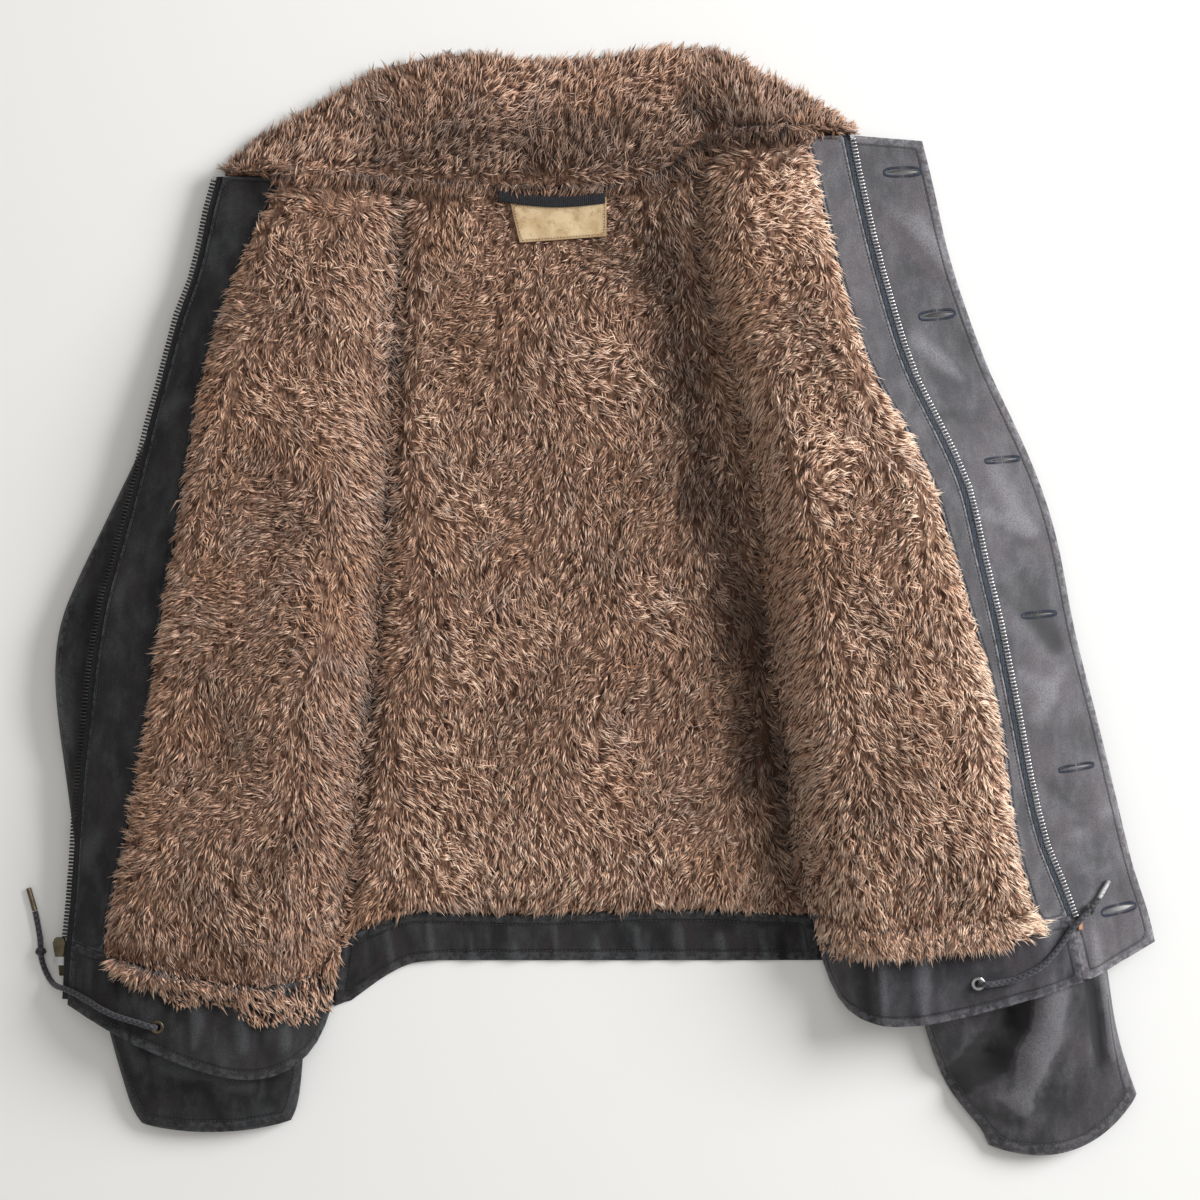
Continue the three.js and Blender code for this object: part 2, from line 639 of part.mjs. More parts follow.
// One ring of a sleeve: round sides, a flat underside and a domed upper side.
function sleeveRing(side, name, row, inset) {
  const outer = new THREE.Vector2(...row.outer);
  const inner = new THREE.Vector2(...row.inner);
  const across = inner.clone().sub(outer).normalize();
  const towardsCuff = new THREE.Vector2(across.y, -across.x).multiplyScalar(side.out < 0 ? 1 : -1);
  outer.addScaledVector(across, inset * 1.2);
  inner.addScaledVector(across, -inset * 1.2);
  const ring = [];
  for (let n = 0; n < sleeveRound; n += 1) {
    const angle = (2 * Math.PI * n) / sleeveRound;
    const t = 0.5 - 0.5 * Math.cos(angle);
    const place = outer.clone().lerp(inner, t);
    place.addScaledVector(towardsCuff, row.bow * 4 * t * (1 - t));
    const ceiling = sleeveCeiling(side, name, place.x, place.y);
    const waist = Math.min(7, row.loft * 0.4, ceiling * 0.45);
    const rise = Math.sin(angle);
    if (rise >= -1e-9) {
      const dome = waist + (row.loft - waist) * Math.max(0, rise) ** 0.7;
      const creased = dome + foldHeight(sleeveFolds, place.x, place.y) * Math.max(0, rise) ** 0.5;
      const top = Math.min(creased, ceiling);
      ring.push([place.x, place.y, Math.max(waist, top - inset * Math.max(0, rise) ** 0.3)]);
    } else {
      const under = waist * Math.max(0, 1 - 1.4 * Math.abs(rise) ** 0.5);
      ring.push([place.x, place.y, under + inset * Math.abs(rise) ** 0.3]);
    }
  }
  return ring;
}

function buildSleeve(side, name) {
  const rows = sleeveRows[name];
  const loops = [
    ...rows.map((row) => sleeveRing(side, name, row, 0)),
    ...rows.map((row) => sleeveRing(side, name, row, sleeveWall)).reverse(),
  ];
  const position = loops.flat(2);
  const index = [];
  loops.forEach((loop, j) => {
    const next = (j + 1) % loops.length;
    for (let n = 0; n < sleeveRound; n += 1) {
      const beside = (n + 1) % sleeveRound;
      const [a, b, c, d] = [
        j * sleeveRound + n, j * sleeveRound + beside, next * sleeveRound + beside, next * sleeveRound + n,
      ];
      index.push(a, b, c, a, c, d);
    }
  });
  add(`sleeve_${name}`, outward(position, index), 'cloth');
}

// Zip: on the right front the tape stands out past the cloth; on the left it lies on the wind flap.
const stopLong = 3.4;
const slider = { wide: 9.4, long: 14, plate: 1.3, space: 3.2, wedge: 3.4 };
const bar = { round: 1.6, below: 2.3, lug: 1.1 };
const tab = { wide: 6, long: 25, thick: 1.4, eye: 3.8, play: 0.35, tilt: 19 };
const boxSize = { wide: 7.6, long: 6.4, thick: 3.6 };
const pinSize = { wide: 3.2, long: 10, thick: 2.8 };

// The last row of a grid drawn back, to leave room for the stop.
function shortened(grid, by) {
  const last = grid[grid.length - 1];
  const before = grid[grid.length - 2];
  const share = by / Math.hypot(last[0].x - before[0].x, last[0].y - before[0].y);
  const row = last.map((point, i) => ({
    x: THREE.MathUtils.lerp(point.x, before[i].x, share),
    y: THREE.MathUtils.lerp(point.y, before[i].y, share),
    z: THREE.MathUtils.lerp(point.z, before[i].z, share),
    steep: point.steep,
  }));
  return [...grid.slice(0, -1), row];
}

// A stop at the top of the teeth, in the room that they leave.
function addStop(name, grid, [from, to], under) {
  const top = grid[lastRow];
  const low = shortened(grid, stopLong)[lastRow];
  const corners = [low, top].map((row) => row.slice(from, to + 1));
  const bulge = 0.5;
  add(name, wall(corners, lift(under), lift(under + teethThick + bulge)), 'steel');
}

function buildZip() {
  const rightGrid = zipGrid(right, [tapeShow, teethWide, 0]);
  const tape = piece(rightGrid, [0, lastRow], [0, 1]);
  add('zip_tape_right', wall(tape, lift(0.9), lift(0.9 + tapeCloth)), 'tape');
  const rightTeeth = piece(shortened(rightGrid, stopLong), [bandRows, lastRow], [1, 2]);
  add('zip_teeth_right', wall(rightTeeth, lift(0.1), lift(0.1 + teethThick)), 'steel');
  addStop('zip_stop_right', rightGrid, [1, 2], 0.1);

  const leftGrid = flapGrid();
  const onFlap = flapCloth + seam;
  const leftTape = piece(leftGrid, [bandRows, lastRow], [0, 1]);
  add('zip_tape_left', wall(leftTape, lift(onFlap), lift(onFlap + tapeCloth)), 'tape');
  const leftTeeth = piece(shortened(leftGrid, stopLong), [bandRows, lastRow], [1, 2]);
  add('zip_teeth_left', wall(leftTeeth, lift(onFlap), lift(onFlap + teethThick)), 'steel');
  addStop('zip_stop_left', leftGrid, [1, 2], onFlap);
}

const block = (wide, long, thick, x, y, z) => {
  const box = new THREE.BoxGeometry(wide, long, thick);
  box.translate(x, y, z);
  return toSolid(box);
};

// A plate of the slider: wide at the top, where the two rows of teeth come in.
function sliderPlate(z) {
  const half = slider.wide / 2;
  const end = slider.long / 2;
  const outline = [
    [-half * 0.62, -end], [half * 0.62, -end], [half * 0.8, -end * 0.4], [half, end * 0.5],
    [half * 0.7, end], [-half * 0.7, end], [-half, end * 0.5], [-half * 0.8, -end * 0.4],
  ];
  const shape = new THREE.Shape(outline.map(([x, y]) => new THREE.Vector2(x, y)));
  const plate = new THREE.ExtrudeGeometry(shape, { depth: slider.plate, bevelEnabled: false });
  plate.translate(0, 0, z);
  return toSolid(plate);
}

// The slider stands at the bottom of the right teeth, its bridge and pull tab underneath.
function buildSlider() {
  const top = frontPlace(right, 1, bandShare);
  const x = top[0] - 2.5;
  const y = top[1] - seam - slider.long / 2;
  const middle = cover(right, top[0], y) + 1.5;
  const low = -slider.space / 2 - slider.plate;
  const barZ = low - bar.below;
  let body = sliderPlate(slider.space / 2).add(sliderPlate(low));
  body = body.add(block(slider.wedge, slider.long * 0.4, slider.space + 0.4, 0, slider.long * 0.15, 0));
  for (const side of [-1, 1]) {
    const lugX = side * (tab.wide / 2 + seam + bar.lug / 2);
    body = body.add(block(bar.lug, 3.2, bar.below + 1.4, lugX, 0, low + 0.2 - (bar.below + 1.4) / 2));
  }
  const rod = new THREE.CylinderGeometry(bar.round / 2, bar.round / 2, tab.wide + 2 * seam + bar.lug, 12);
  rod.rotateZ(Math.PI / 2);
  rod.translate(0, 0, barZ);
  body = body.add(toSolid(rod));
  add('zip_slider', fromSolid(body), 'brass', { position: new THREE.Vector3(x, y, middle) });

  const profile = new THREE.Shape();
  const half = tab.thick / 2;
  const start = Math.asin(half / (tab.eye / 2));
  profile.absarc(0, 0, tab.eye / 2, start, 2 * Math.PI - start, false);
  profile.lineTo(tab.long, -half);
  profile.lineTo(tab.long, half);
  profile.closePath();
  const bore = new THREE.Path();
  bore.absarc(0, 0, bar.round / 2 + tab.play, 0, 2 * Math.PI, true);
  profile.holes.push(bore);
  const pull = new THREE.ExtrudeGeometry(profile, { depth: tab.wide, bevelEnabled: false, curveSegments: 8 });
  pull.translate(0, 0, -tab.wide / 2);
  pull.applyMatrix4(new THREE.Matrix4().makeBasis(
    new THREE.Vector3(0, -1, 0), new THREE.Vector3(0, 0, 1), new THREE.Vector3(-1, 0, 0),
  ));
  pull.rotateX(THREE.MathUtils.degToRad(tab.tilt));
  add('zip_pull_tab', pull, 'brass', { position: new THREE.Vector3(x, y, middle + barZ) });

  const boxY = y - slider.long / 2 - seam - boxSize.long / 2;
  const boxX = right.lie.edge(boxY) + teethWide - seam - boxSize.wide / 2;
  const catchBox = block(boxSize.wide, boxSize.long, boxSize.thick, 0, 0, 0);
  add('zip_box', fromSolid(catchBox), 'steel', { position: new THREE.Vector3(boxX, boxY, middle) });

  const under = (px, py) => cover(left, px, py);
  const pinTop = frontPlace(left, 1, bandShare);
  const pinY = pinTop[1] - seam - pinSize.long / 2;
  const pinX = left.lie.edge(pinY) - teethWide / 2;
  const normal = facingUp(under, pinX, pinY);
  const position = new THREE.Vector3(pinX, pinY, under(pinX, pinY));
  position.addScaledVector(normal, flapCloth + seam + 0.5 + pinSize.thick / 2);
  const pin = block(pinSize.wide, pinSize.long, pinSize.thick, 0, 0, 0);
  add('zip_pin', fromSolid(pin), 'copper', { position, quaternion: turnTo(normal) });
}

// Wind flap: it carries the left zip tape and teeth, then six buttonholes, then its free edge.
function flapGrid() {
  const height = (x, y) => cover(left, x, y);
  return frontRows.map((along) => {
    const [edgeX, edgeY] = frontPlace(left, 1, along);
    const rise = THREE.MathUtils.lerp(flapRise.hem, flapRise.neck, along);
    const rimY = edgeY + rise;
    const rimX = left.lie.flap(rimY);
    const inner = [tapeShow, teethWide].map((off) => [edgeX - off, edgeY]);
    const outer = [0, 0.3, 0.55, 0.8, 1].map((t) => [
      THREE.MathUtils.lerp(edgeX, rimX, t), THREE.MathUtils.lerp(edgeY, rimY, t),
    ]);
    return [...inner, ...outer].map(([x, y]) => gridPoint(height, x, y));
  });
}

// Buttonholes, from the neck down: centre, whether it stands open, all tilted a little.
const buttonholes = [
  { x: 232, y: 328, wide: holeOpen, tilt: 2 },
  { x: 258, y: 218, wide: holeOpen, tilt: 8 },
  { x: 307, y: 107, wide: holeShut, tilt: 6 },
  { x: 334, y: -11, wide: holeShut, tilt: 5 },
  { x: 362, y: -127, wide: holeShut, tilt: 8 },
  { x: 395, y: -235, wide: holeOpen, tilt: 10 },
];

function buttonholeCut({ x, y, wide, tilt }) {
  const half = holeLong / 2;
  const eye = new THREE.Shape();
  eye.moveTo(-half, 0);
  eye.quadraticCurveTo(0, -wide, half, 0);
  eye.quadraticCurveTo(0, wide, -half, 0);
  const cut = new THREE.ExtrudeGeometry(eye, { depth: 60, bevelEnabled: false, curveSegments: 4 });
  cut.rotateZ(THREE.MathUtils.degToRad(tilt));
  cut.translate(x, y, -5);
  return toSolid(cut);
}

function buildFlap() {
  const grid = flapGrid();
  const whole = piece(grid, [0, lastRow], [0, 6]);
  let flap = toSolid(wall(whole, lift(0), lift(flapCloth)));
  for (const hole of buttonholes) flap = flap.subtract(buttonholeCut(hole));
  add('wind_flap', fromSolid(flap), 'cloth');
}

// Buttons, sewn to the outside of the right front, so they lie under it.
function buildButtons() {
  const half = buttonAcross / 2;
  const profile = [
    [0, -buttonThick - 1.4], [half - 1.4, -buttonThick - 1.4], [half, -buttonThick - 0.2], [half, -1.9],
    [half - 1, -1.4], [2.4, -1.4], [2.4, 0], [0, 0],
  ].map(([r, z]) => new THREE.Vector2(r, z));
  const height = (x, y) => cover(right, x, y);
  const lowered = 32;     // the right front lies this much lower than the left
  buttonholes.forEach((hole, n) => {
    const y = hole.y - lowered;
    const x = right.lie.edge(y) + buttonSetBack;
    const normal = facingUp(height, x, y);
    const button = new THREE.LatheGeometry(profile, 12);
    button.rotateX(Math.PI / 2);
    const position = new THREE.Vector3(x, y, height(x, y)).addScaledVector(normal, -0.8);
    add(`button_${n + 1}`, button, 'button', { position, quaternion: turnTo(normal) });
  });
}

// Drawstring ends: the way of each cord from its eyelet over the hem band to its knot, then the tail
// past the knot, then the metal tip.
const cordWays = {
  right: {
    main: [
      [-334, -322, 42.6], [-337, -321.2, 44.9], [-341.5, -320, 45.2], [-347, -318.4, 43.6],
      [-353, -317, 42.2], [-360, -315, 41.4], [-367, -313, 39.7], [-377, -309, 36.3],
      [-387, -304, 31.5], [-396, -300, 26.9], [-403, -297.5, 23], [-409, -296, 19.5],
      [-414, -295.5, 15], [-418.5, -294.5, 9.2], [-422.5, -291.5, 4.6], [-426, -286, 2.7],
      [-428.3, -280, 2.5], [-429.2, -275.4, 3.6],
    ],
    knot: [-429.5, -270.5, 4.6],
    tail: [[-429.9, -265.6, 3.6], [-430.7, -259, 2.5], [-432.2, -250, 2.4], [-434.3, -239.5, 2.4]],
    tip: [[-434.4, -239.1, 2.4], [-439.4, -221.8, 2.2]],
  },
  left: {
    main: [
      [284, -288, 50.4], [287, -288, 52.7], [291.5, -288, 52.9], [297, -287.5, 51.3], [304, -286.5, 50.1],
      [311, -285, 50.1], [320, -281, 50], [328, -277, 49.4], [335, -272, 48], [342, -265, 45.6],
      [348, -258, 43.4], [353, -251, 41.8], [358, -245.5, 41.3], [363, -240.5, 40.3], [367.5, -237, 37.5],
    ],
    knot: [371, -233.5, 35.4],
    tail: [[374.4, -230, 34], [376, -228.2, 32.7], [377.6, -226.4, 31.4]],
    tip: [[377.8, -226.1, 31.2], [385.9, -213.6, 27.3]],
  },
};
const knotAcross = 9;
const tipAcross = 4.2;
const cordNodes = ['cord', 'cord_tail', 'knot', 'aglet'];

function cordTube(points, steps) {
  const curve = new THREE.CatmullRomCurve3(points.map((point) => new THREE.Vector3(...point)), false, 'centripetal');
  const section = new THREE.Shape();
  const sides = 8;
  for (let n = 0; n < sides; n += 1) {
    const angle = (2 * Math.PI * n) / sides;
    const place = [Math.cos(angle) * cordRound * 0.5, Math.sin(angle) * cordRound * 0.5];
    if (n === 0) section.moveTo(...place);
    else section.lineTo(...place);
  }
  section.closePath();
  return new THREE.ExtrudeGeometry(section, { steps, bevelEnabled: false, extrudePath: curve });
}

function buildDrawstring(name) {
  const way = cordWays[name];
  add(`cord_${name}`, cordTube(way.main, 22), 'cord');
  add(`cord_tail_${name}`, cordTube(way.tail, 4), 'cord');
  const knot = new THREE.SphereGeometry(knotAcross / 2, 12, 8);
  add(`knot_${name}`, knot, 'cord', { position: new THREE.Vector3(...way.knot) });
  const [from, to] = way.tip.map((point) => new THREE.Vector3(...point));
  const along = to.clone().sub(from);
  const tip = new THREE.CylinderGeometry(tipAcross / 2 - 0.2, tipAcross / 2, along.length(), 12);
  tip.rotateX(Math.PI / 2);
  tip.translate(0, 0, along.length() / 2 + seam);
  const place = { position: from, quaternion: turnTo(along.normalize()) };
  add(`aglet_${name}`, tip, name === 'right' ? 'brass' : 'steel', place);
}

buildBack();
buildFront(right, 'right');
buildFront(left, 'left');
buildFlap();
buildCollar();
buildSleeve(right, 'right');
buildSleeve(left, 'left');
buildZip();
buildSlider();
buildButtons();
buildNeckTrim();
for (const [name, side] of [['right', right], ['left', left]]) {
  const place = eyeletPlace(side);
  place.position.addScaledVector(place.normal, seam + 0.4);
  add(`eyelet_${name}`, eyeletShape(), name === 'right' ? 'brass' : 'steel', place);
}

buildDrawstring('right');
buildDrawstring('left');

// The origin stands under the middle of the jacket, its loose drawstring ends left out.
const jacket = new THREE.Group();
jacket.add(...parts);
const loose = (mesh) => cordNodes.some((kind) => mesh.name.startsWith(`${kind}_`));
const reach = new THREE.Box3();
parts.filter((mesh) => !loose(mesh)).forEach((mesh) => reach.expandByObject(mesh, true));
const middle = reach.getCenter(new THREE.Vector3());
jacket.position.set(-middle.x, -middle.y, -reach.min.z);
export default jacket;
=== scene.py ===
import json
import math

import bmesh
import bpy
import numpy as np
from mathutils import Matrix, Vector, noise
from mathutils.bvhtree import BVHTree
from mathutils.kdtree import KDTree

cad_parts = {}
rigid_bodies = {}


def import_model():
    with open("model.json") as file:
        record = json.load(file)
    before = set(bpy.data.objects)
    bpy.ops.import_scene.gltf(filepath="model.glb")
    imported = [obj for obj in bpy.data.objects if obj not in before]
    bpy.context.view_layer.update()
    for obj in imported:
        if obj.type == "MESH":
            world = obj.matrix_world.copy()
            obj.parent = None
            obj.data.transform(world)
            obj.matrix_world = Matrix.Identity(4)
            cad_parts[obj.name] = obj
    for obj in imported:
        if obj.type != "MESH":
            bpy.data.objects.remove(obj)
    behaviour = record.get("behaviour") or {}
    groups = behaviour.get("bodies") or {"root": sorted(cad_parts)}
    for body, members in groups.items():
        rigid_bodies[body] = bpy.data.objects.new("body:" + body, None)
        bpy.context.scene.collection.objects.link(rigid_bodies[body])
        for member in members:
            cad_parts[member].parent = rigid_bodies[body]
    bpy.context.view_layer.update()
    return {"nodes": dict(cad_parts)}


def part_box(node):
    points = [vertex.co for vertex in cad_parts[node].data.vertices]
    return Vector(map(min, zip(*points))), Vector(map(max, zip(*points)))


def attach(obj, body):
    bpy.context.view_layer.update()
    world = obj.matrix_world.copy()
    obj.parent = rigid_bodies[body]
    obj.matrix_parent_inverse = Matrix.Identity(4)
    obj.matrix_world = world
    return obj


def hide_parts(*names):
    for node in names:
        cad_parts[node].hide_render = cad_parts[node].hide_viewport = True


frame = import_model()
scene = bpy.context.scene
mm = 0.001
layout = Vector((-2.5175, 0.6224, 0.0)) * mm     # from the part's own layout to the frame's origin
print("frame loaded:", len(frame["nodes"]), "nodes")


def spot(x, y, z=0.0):
    return Vector((x, y, z)) * mm + layout


# The same without its height, as an array.
def flatSpot(x, y, *_):
    return np.array(spot(x, y)[:2])


# Camera: straight above, as far up as the photograph was taken from.

overhead = {"high": 1.9, "wide": 0.924}


def buildCamera():
    lens = bpy.data.cameras.new("overhead")
    lens.angle = 2 * math.atan(overhead["wide"] / 2 / overhead["high"])
    lens.clip_start = 0.05
    lens.clip_end = 20
    eye = bpy.data.objects.new("overhead", lens)
    eye.location = spot(0, 0, overhead["high"] / mm)
    scene.collection.objects.link(eye)
    scene.camera = eye


buildCamera()


# Finishes. A Signal is a number or colour that varies over a surface.

class Signal:
    def __init__(self, finish, socket):
        self.finish = finish
        self.socket = socket

    def maths(self, operation, *others, swap=False):
        values = [*others, self] if swap else [self, *others]
        return self.finish.node("Math", {"operation": operation}, values)

    def __add__(self, other):
        return self.maths("ADD", other)

    def __sub__(self, other):
        return self.maths("SUBTRACT", other)

    def __rsub__(self, other):
        return self.maths("SUBTRACT", other, swap=True)

    def __mul__(self, other):
        return self.maths("MULTIPLY", other)

    def __truediv__(self, other):
        return self.maths("DIVIDE", other)

    __radd__ = __add__
    __rmul__ = __mul__

    def sine(self):
        return self.maths("SINE")

    def wave(self, length):
        return (self * (2 * math.pi / length)).sine()

    def size(self):
        return self.maths("ABSOLUTE")

    def within(self, low, high, toLow=0.0, toHigh=1.0):
        settings = {"interpolation_type": "SMOOTHSTEP"}
        return self.finish.node("MapRange", settings, [self, low, high, toLow, toHigh])


class Finish:
    def __init__(self, name, roughness=0.8, **values):
        self.material = bpy.data.materials.new(name)
        self.material.use_nodes = True
        self.tree = self.material.node_tree
        self.tree.nodes.clear()
        shader = self.tree.nodes.new("ShaderNodeBsdfPrincipled")
        output = self.tree.nodes.new("ShaderNodeOutputMaterial")
        self.tree.links.new(shader.outputs[0], output.inputs["Surface"])
        self.shader = shader
        self.give("Roughness", roughness)
        for key, value in values.items():
            self.give(key.replace("_", " "), value)
        self.coordinates = self.node("TexCoord", out="Object")

    def plug(self, value, socket):
        if isinstance(value, Signal):
            self.tree.links.new(value.socket, socket)
        else:
            socket.default_value = value

    def give(self, name, value):
        self.plug(value, self.shader.inputs[name])

    def node(self, kind, settings=None, values=(), out=0):
        made = self.tree.nodes.new("ShaderNode" + kind)
        for key, value in (settings or {}).items():
            if key == "stops":
                for stop in value[2:]:
                    made.color_ramp.elements.new(stop[0])
                for element, stop in zip(made.color_ramp.elements, value):
                    element.position = stop[0]
                    element.color = (*stop[1], 1)
            else:
                setattr(made, key, value)
        pairs = values.items() if isinstance(values, dict) else enumerate(values)
        for key, value in pairs:
            self.plug(value, made.inputs[key])
        return Signal(self, made.outputs[out])

    def noise(self, scale, detail=2, stretch=None, roughness=0.5):
        where = self.coordinates
        if stretch:
            where = self.node("VectorMath", {"operation": "MULTIPLY"}, [where, stretch])
        return self.node("TexNoise", None, {"Vector": where, "Scale": scale, "Detail": detail,
                                            "Roughness": roughness})

    def axes(self):
        split = self.node("SeparateXYZ", None, [self.coordinates])
        outputs = split.socket.node.outputs
        return [Signal(self, outputs[n]) for n in range(3)]

    def attribute(self, name, out="Fac"):
        return self.node("Attribute", {"attribute_name": name}, out=out)

    def blend(self, factor, first, second):
        values = {0: factor, 6: self.opaque(first), 7: self.opaque(second)}
        return self.node("Mix", {"data_type": "RGBA"}, values, out=2)

    def opaque(self, colour):
        return colour if isinstance(colour, Signal) else (*colour, 1)

    def ramp(self, factor, stops):
        return self.node("ValToRGB", {"stops": stops}, [factor])

    # Colour and relief, the last that a finish is given.
    def coat(self, colour, height=None, distance=0.0, strength=1.0):
        self.give("Base Color", colour)
        if height is not None:
            values = {"Height": height, "Distance": distance, "Strength": strength}
            self.give("Normal", self.node("Bump", None, values))
        return self.material


def times(colour, factor):
    return tuple(factor * part for part in colour)


# Cloth: spacing of its ribs, and how far wear, rope marks and the sewn groove reach, in metres.
weave = {"rib": 0.0011, "worn": 0.003, "roped": 0.0036, "groove": 0.0014}


def clothFinish(name, dark, light, warm, sheen, gloss):
    finish = Finish(name, 0.7, Sheen_Weight=sheen, Sheen_Roughness=0.4, Specular_IOR_Level=gloss)
    x, y, _ = finish.axes()
    patches = finish.noise(20, 4, None, 0.62).within(0.36, 0.66)
    clouds = finish.noise(75, 4, (1, 0.5, 1), 0.6).within(0.38, 0.72)
    grain = finish.noise(900, 2)
    gathers = finish.noise(230, 1).within(0.36, 0.64)
    fold = finish.attribute("fold")
    seam = finish.attribute("seam")
    worn = (finish.attribute("rim") / weave["worn"]).within(0.2, 1, 1, 0) * gathers
    roped = ((seam - weave["roped"]).size() / weave["roped"]).within(0.3, 1, 1, 0) * gathers
    channel = (seam.size() / weave["groove"]).within(0, 1, 1, 0)
    # The darker colour below is painted shade in crease valleys and in the sewn groove, and the grain's own
    # dark; the paler one is wear at rims and roped hems, and painted highlight on crease ridges.
    deep = times(dark, 0.35)
    wearAndHighlight = times(light, 1.7)
    ground = finish.blend(patches, dark, warm)
    # Layers over the ground: clouds, painted highlight on crease ridges, painted shade in crease valleys,
    # roped hems, worn rims, painted shade in the sewn groove, and grain.
    for factor, colour in (
            (clouds * 0.7, light), (fold.within(0.15, 1.8) * 0.62, wearAndHighlight),
            (fold.within(-2.6, -0.2, 1, 0) * 0.85, deep), (roped * 0.42, wearAndHighlight),
            (worn * 0.45, times(wearAndHighlight, 1.5)), (channel * 0.5, deep),
            (grain.within(0.35, 0.7) * 0.45, deep)):
        ground = finish.blend(factor, ground, colour)
    turns = 2 * math.pi / weave["rib"]
    diagonal = (x * turns + y * turns * 0.8).sine() * 0.5
    cross = (x * (-turns * 0.9) + y * turns * 1.2).sine() * 0.25
    return finish.coat(ground, diagonal + cross + grain * 1.2 + roped * 1.4 - channel * 3, 0.00026, 0.9)


def furFinish(name, stops, ash, rust, shade):
    finish = Finish(name, 0.6, Specular_IOR_Level=0.3, Sheen_Weight=0.2)
    colour = finish.attribute("lock", "Color")
    split = finish.node("SeparateColor", None, [colour])
    along, own, tuft = [Signal(finish, split.socket.node.outputs[n]) for n in range(3)]
    # Each lock runs from dark at the root to pale at the tip; the dark roots are painted shade between the
    # locks.
    tone = along * 0.8 + 0.12 + (own - 0.5) * 0.42 + (tuft - 0.5) * 0.36
    fibre = finish.ramp(tone, stops)
    fibre = finish.blend(finish.noise(34, 3).within(0.5, 0.75) * 0.35, fibre, ash)
    fibre = finish.blend(finish.noise(13, 2).within(0.5, 0.72) * 0.3, fibre, rust)
    # The shade colour is laid over the locks as painted shade where the strips of painted shade lie.
    return finish.coat(finish.blend(finish.attribute("hollow"), fibre, shade))


def skinFinish(name, stops, shade):
    finish = Finish(name, 0.95, Specular_IOR_Level=0.1)
    strands = finish.noise(620, 3, (1, 0.3, 1))
    tufts = finish.noise(150, 4, (1, 0.5, 1))
    fibre = finish.ramp(strands * 0.55 + tufts * 0.45, stops)
    # The backing takes the same painted shade.
    return finish.coat(finish.blend(finish.attribute("hollow"), fibre, shade), strands * 0.4 + tufts, 0.004)


def threadFinish(name, dark, light):
    finish = Finish(name, 0.75, Sheen_Weight=0.2)
    twist = finish.noise(700, 2)
    return finish.coat(finish.blend(twist.within(0.3, 0.7), dark, light), twist, 0.0002)


def cordFinish(name, dark, light):
    finish = Finish(name, 0.75, Sheen_Weight=0.25)
    twist = finish.noise(700, 2)
    mixed = finish.attribute("strand").within(-0.6, 0.7) * 0.8 + twist.within(0.3, 0.7) * 0.2
    return finish.coat(finish.blend(mixed, dark, light), twist, 0.0002)


def tapeFinish(name, dark, light, sheen):
    finish = Finish(name, 0.82, Sheen_Weight=sheen)
    x, y, _ = finish.axes()
    ribs = x.wave(0.0016) * 0.5 + y.wave(0.0009) * 0.35
    fibres = finish.noise(500, 2)
    return finish.coat(finish.blend(fibres.within(0.3, 0.7), dark, light), ribs + fibres, 0.00022)


def metalFinish(name, bright, dull, roughness):
    finish = Finish(name, roughness, Metallic=1.0)
    marks = finish.noise(420, 4, None, 0.65)
    worn = finish.noise(90, 2).within(0.35, 0.65) * 0.55
    finish.give("Roughness", marks.within(0.3, 0.75, roughness * 0.75, roughness * 1.5))
    return finish.coat(finish.blend(worn, bright, dull), marks, 0.00008)


def buttonFinish(name, dark, light):
    finish = Finish(name, 0.38, Coat_Weight=0.2, Coat_Roughness=0.3)
    swirl = finish.noise(120, 4, (1, 3, 1))
    return finish.coat(finish.blend(swirl.within(0.3, 0.75), dark, light), swirl, 0.00015)


def labelFinish(name, cream, tan, stain):
    finish = Finish(name, 0.88, Sheen_Weight=0.2)
    x, y, _ = finish.axes()
    rim = (finish.attribute("rim") / 0.004).within(0, 1, 1, 0)
    ground = finish.blend(finish.noise(70, 3).within(0.3, 0.72), cream, tan)
    ground = finish.blend(rim * 0.5, ground, stain)
    ground = finish.blend(finish.noise(150, 4).within(0.5, 0.7) * 0.45, ground, stain)
    return finish.coat(ground, x.wave(0.0008) * y.wave(0.0008) * 0.6 + finish.noise(600, 2), 0.0002)


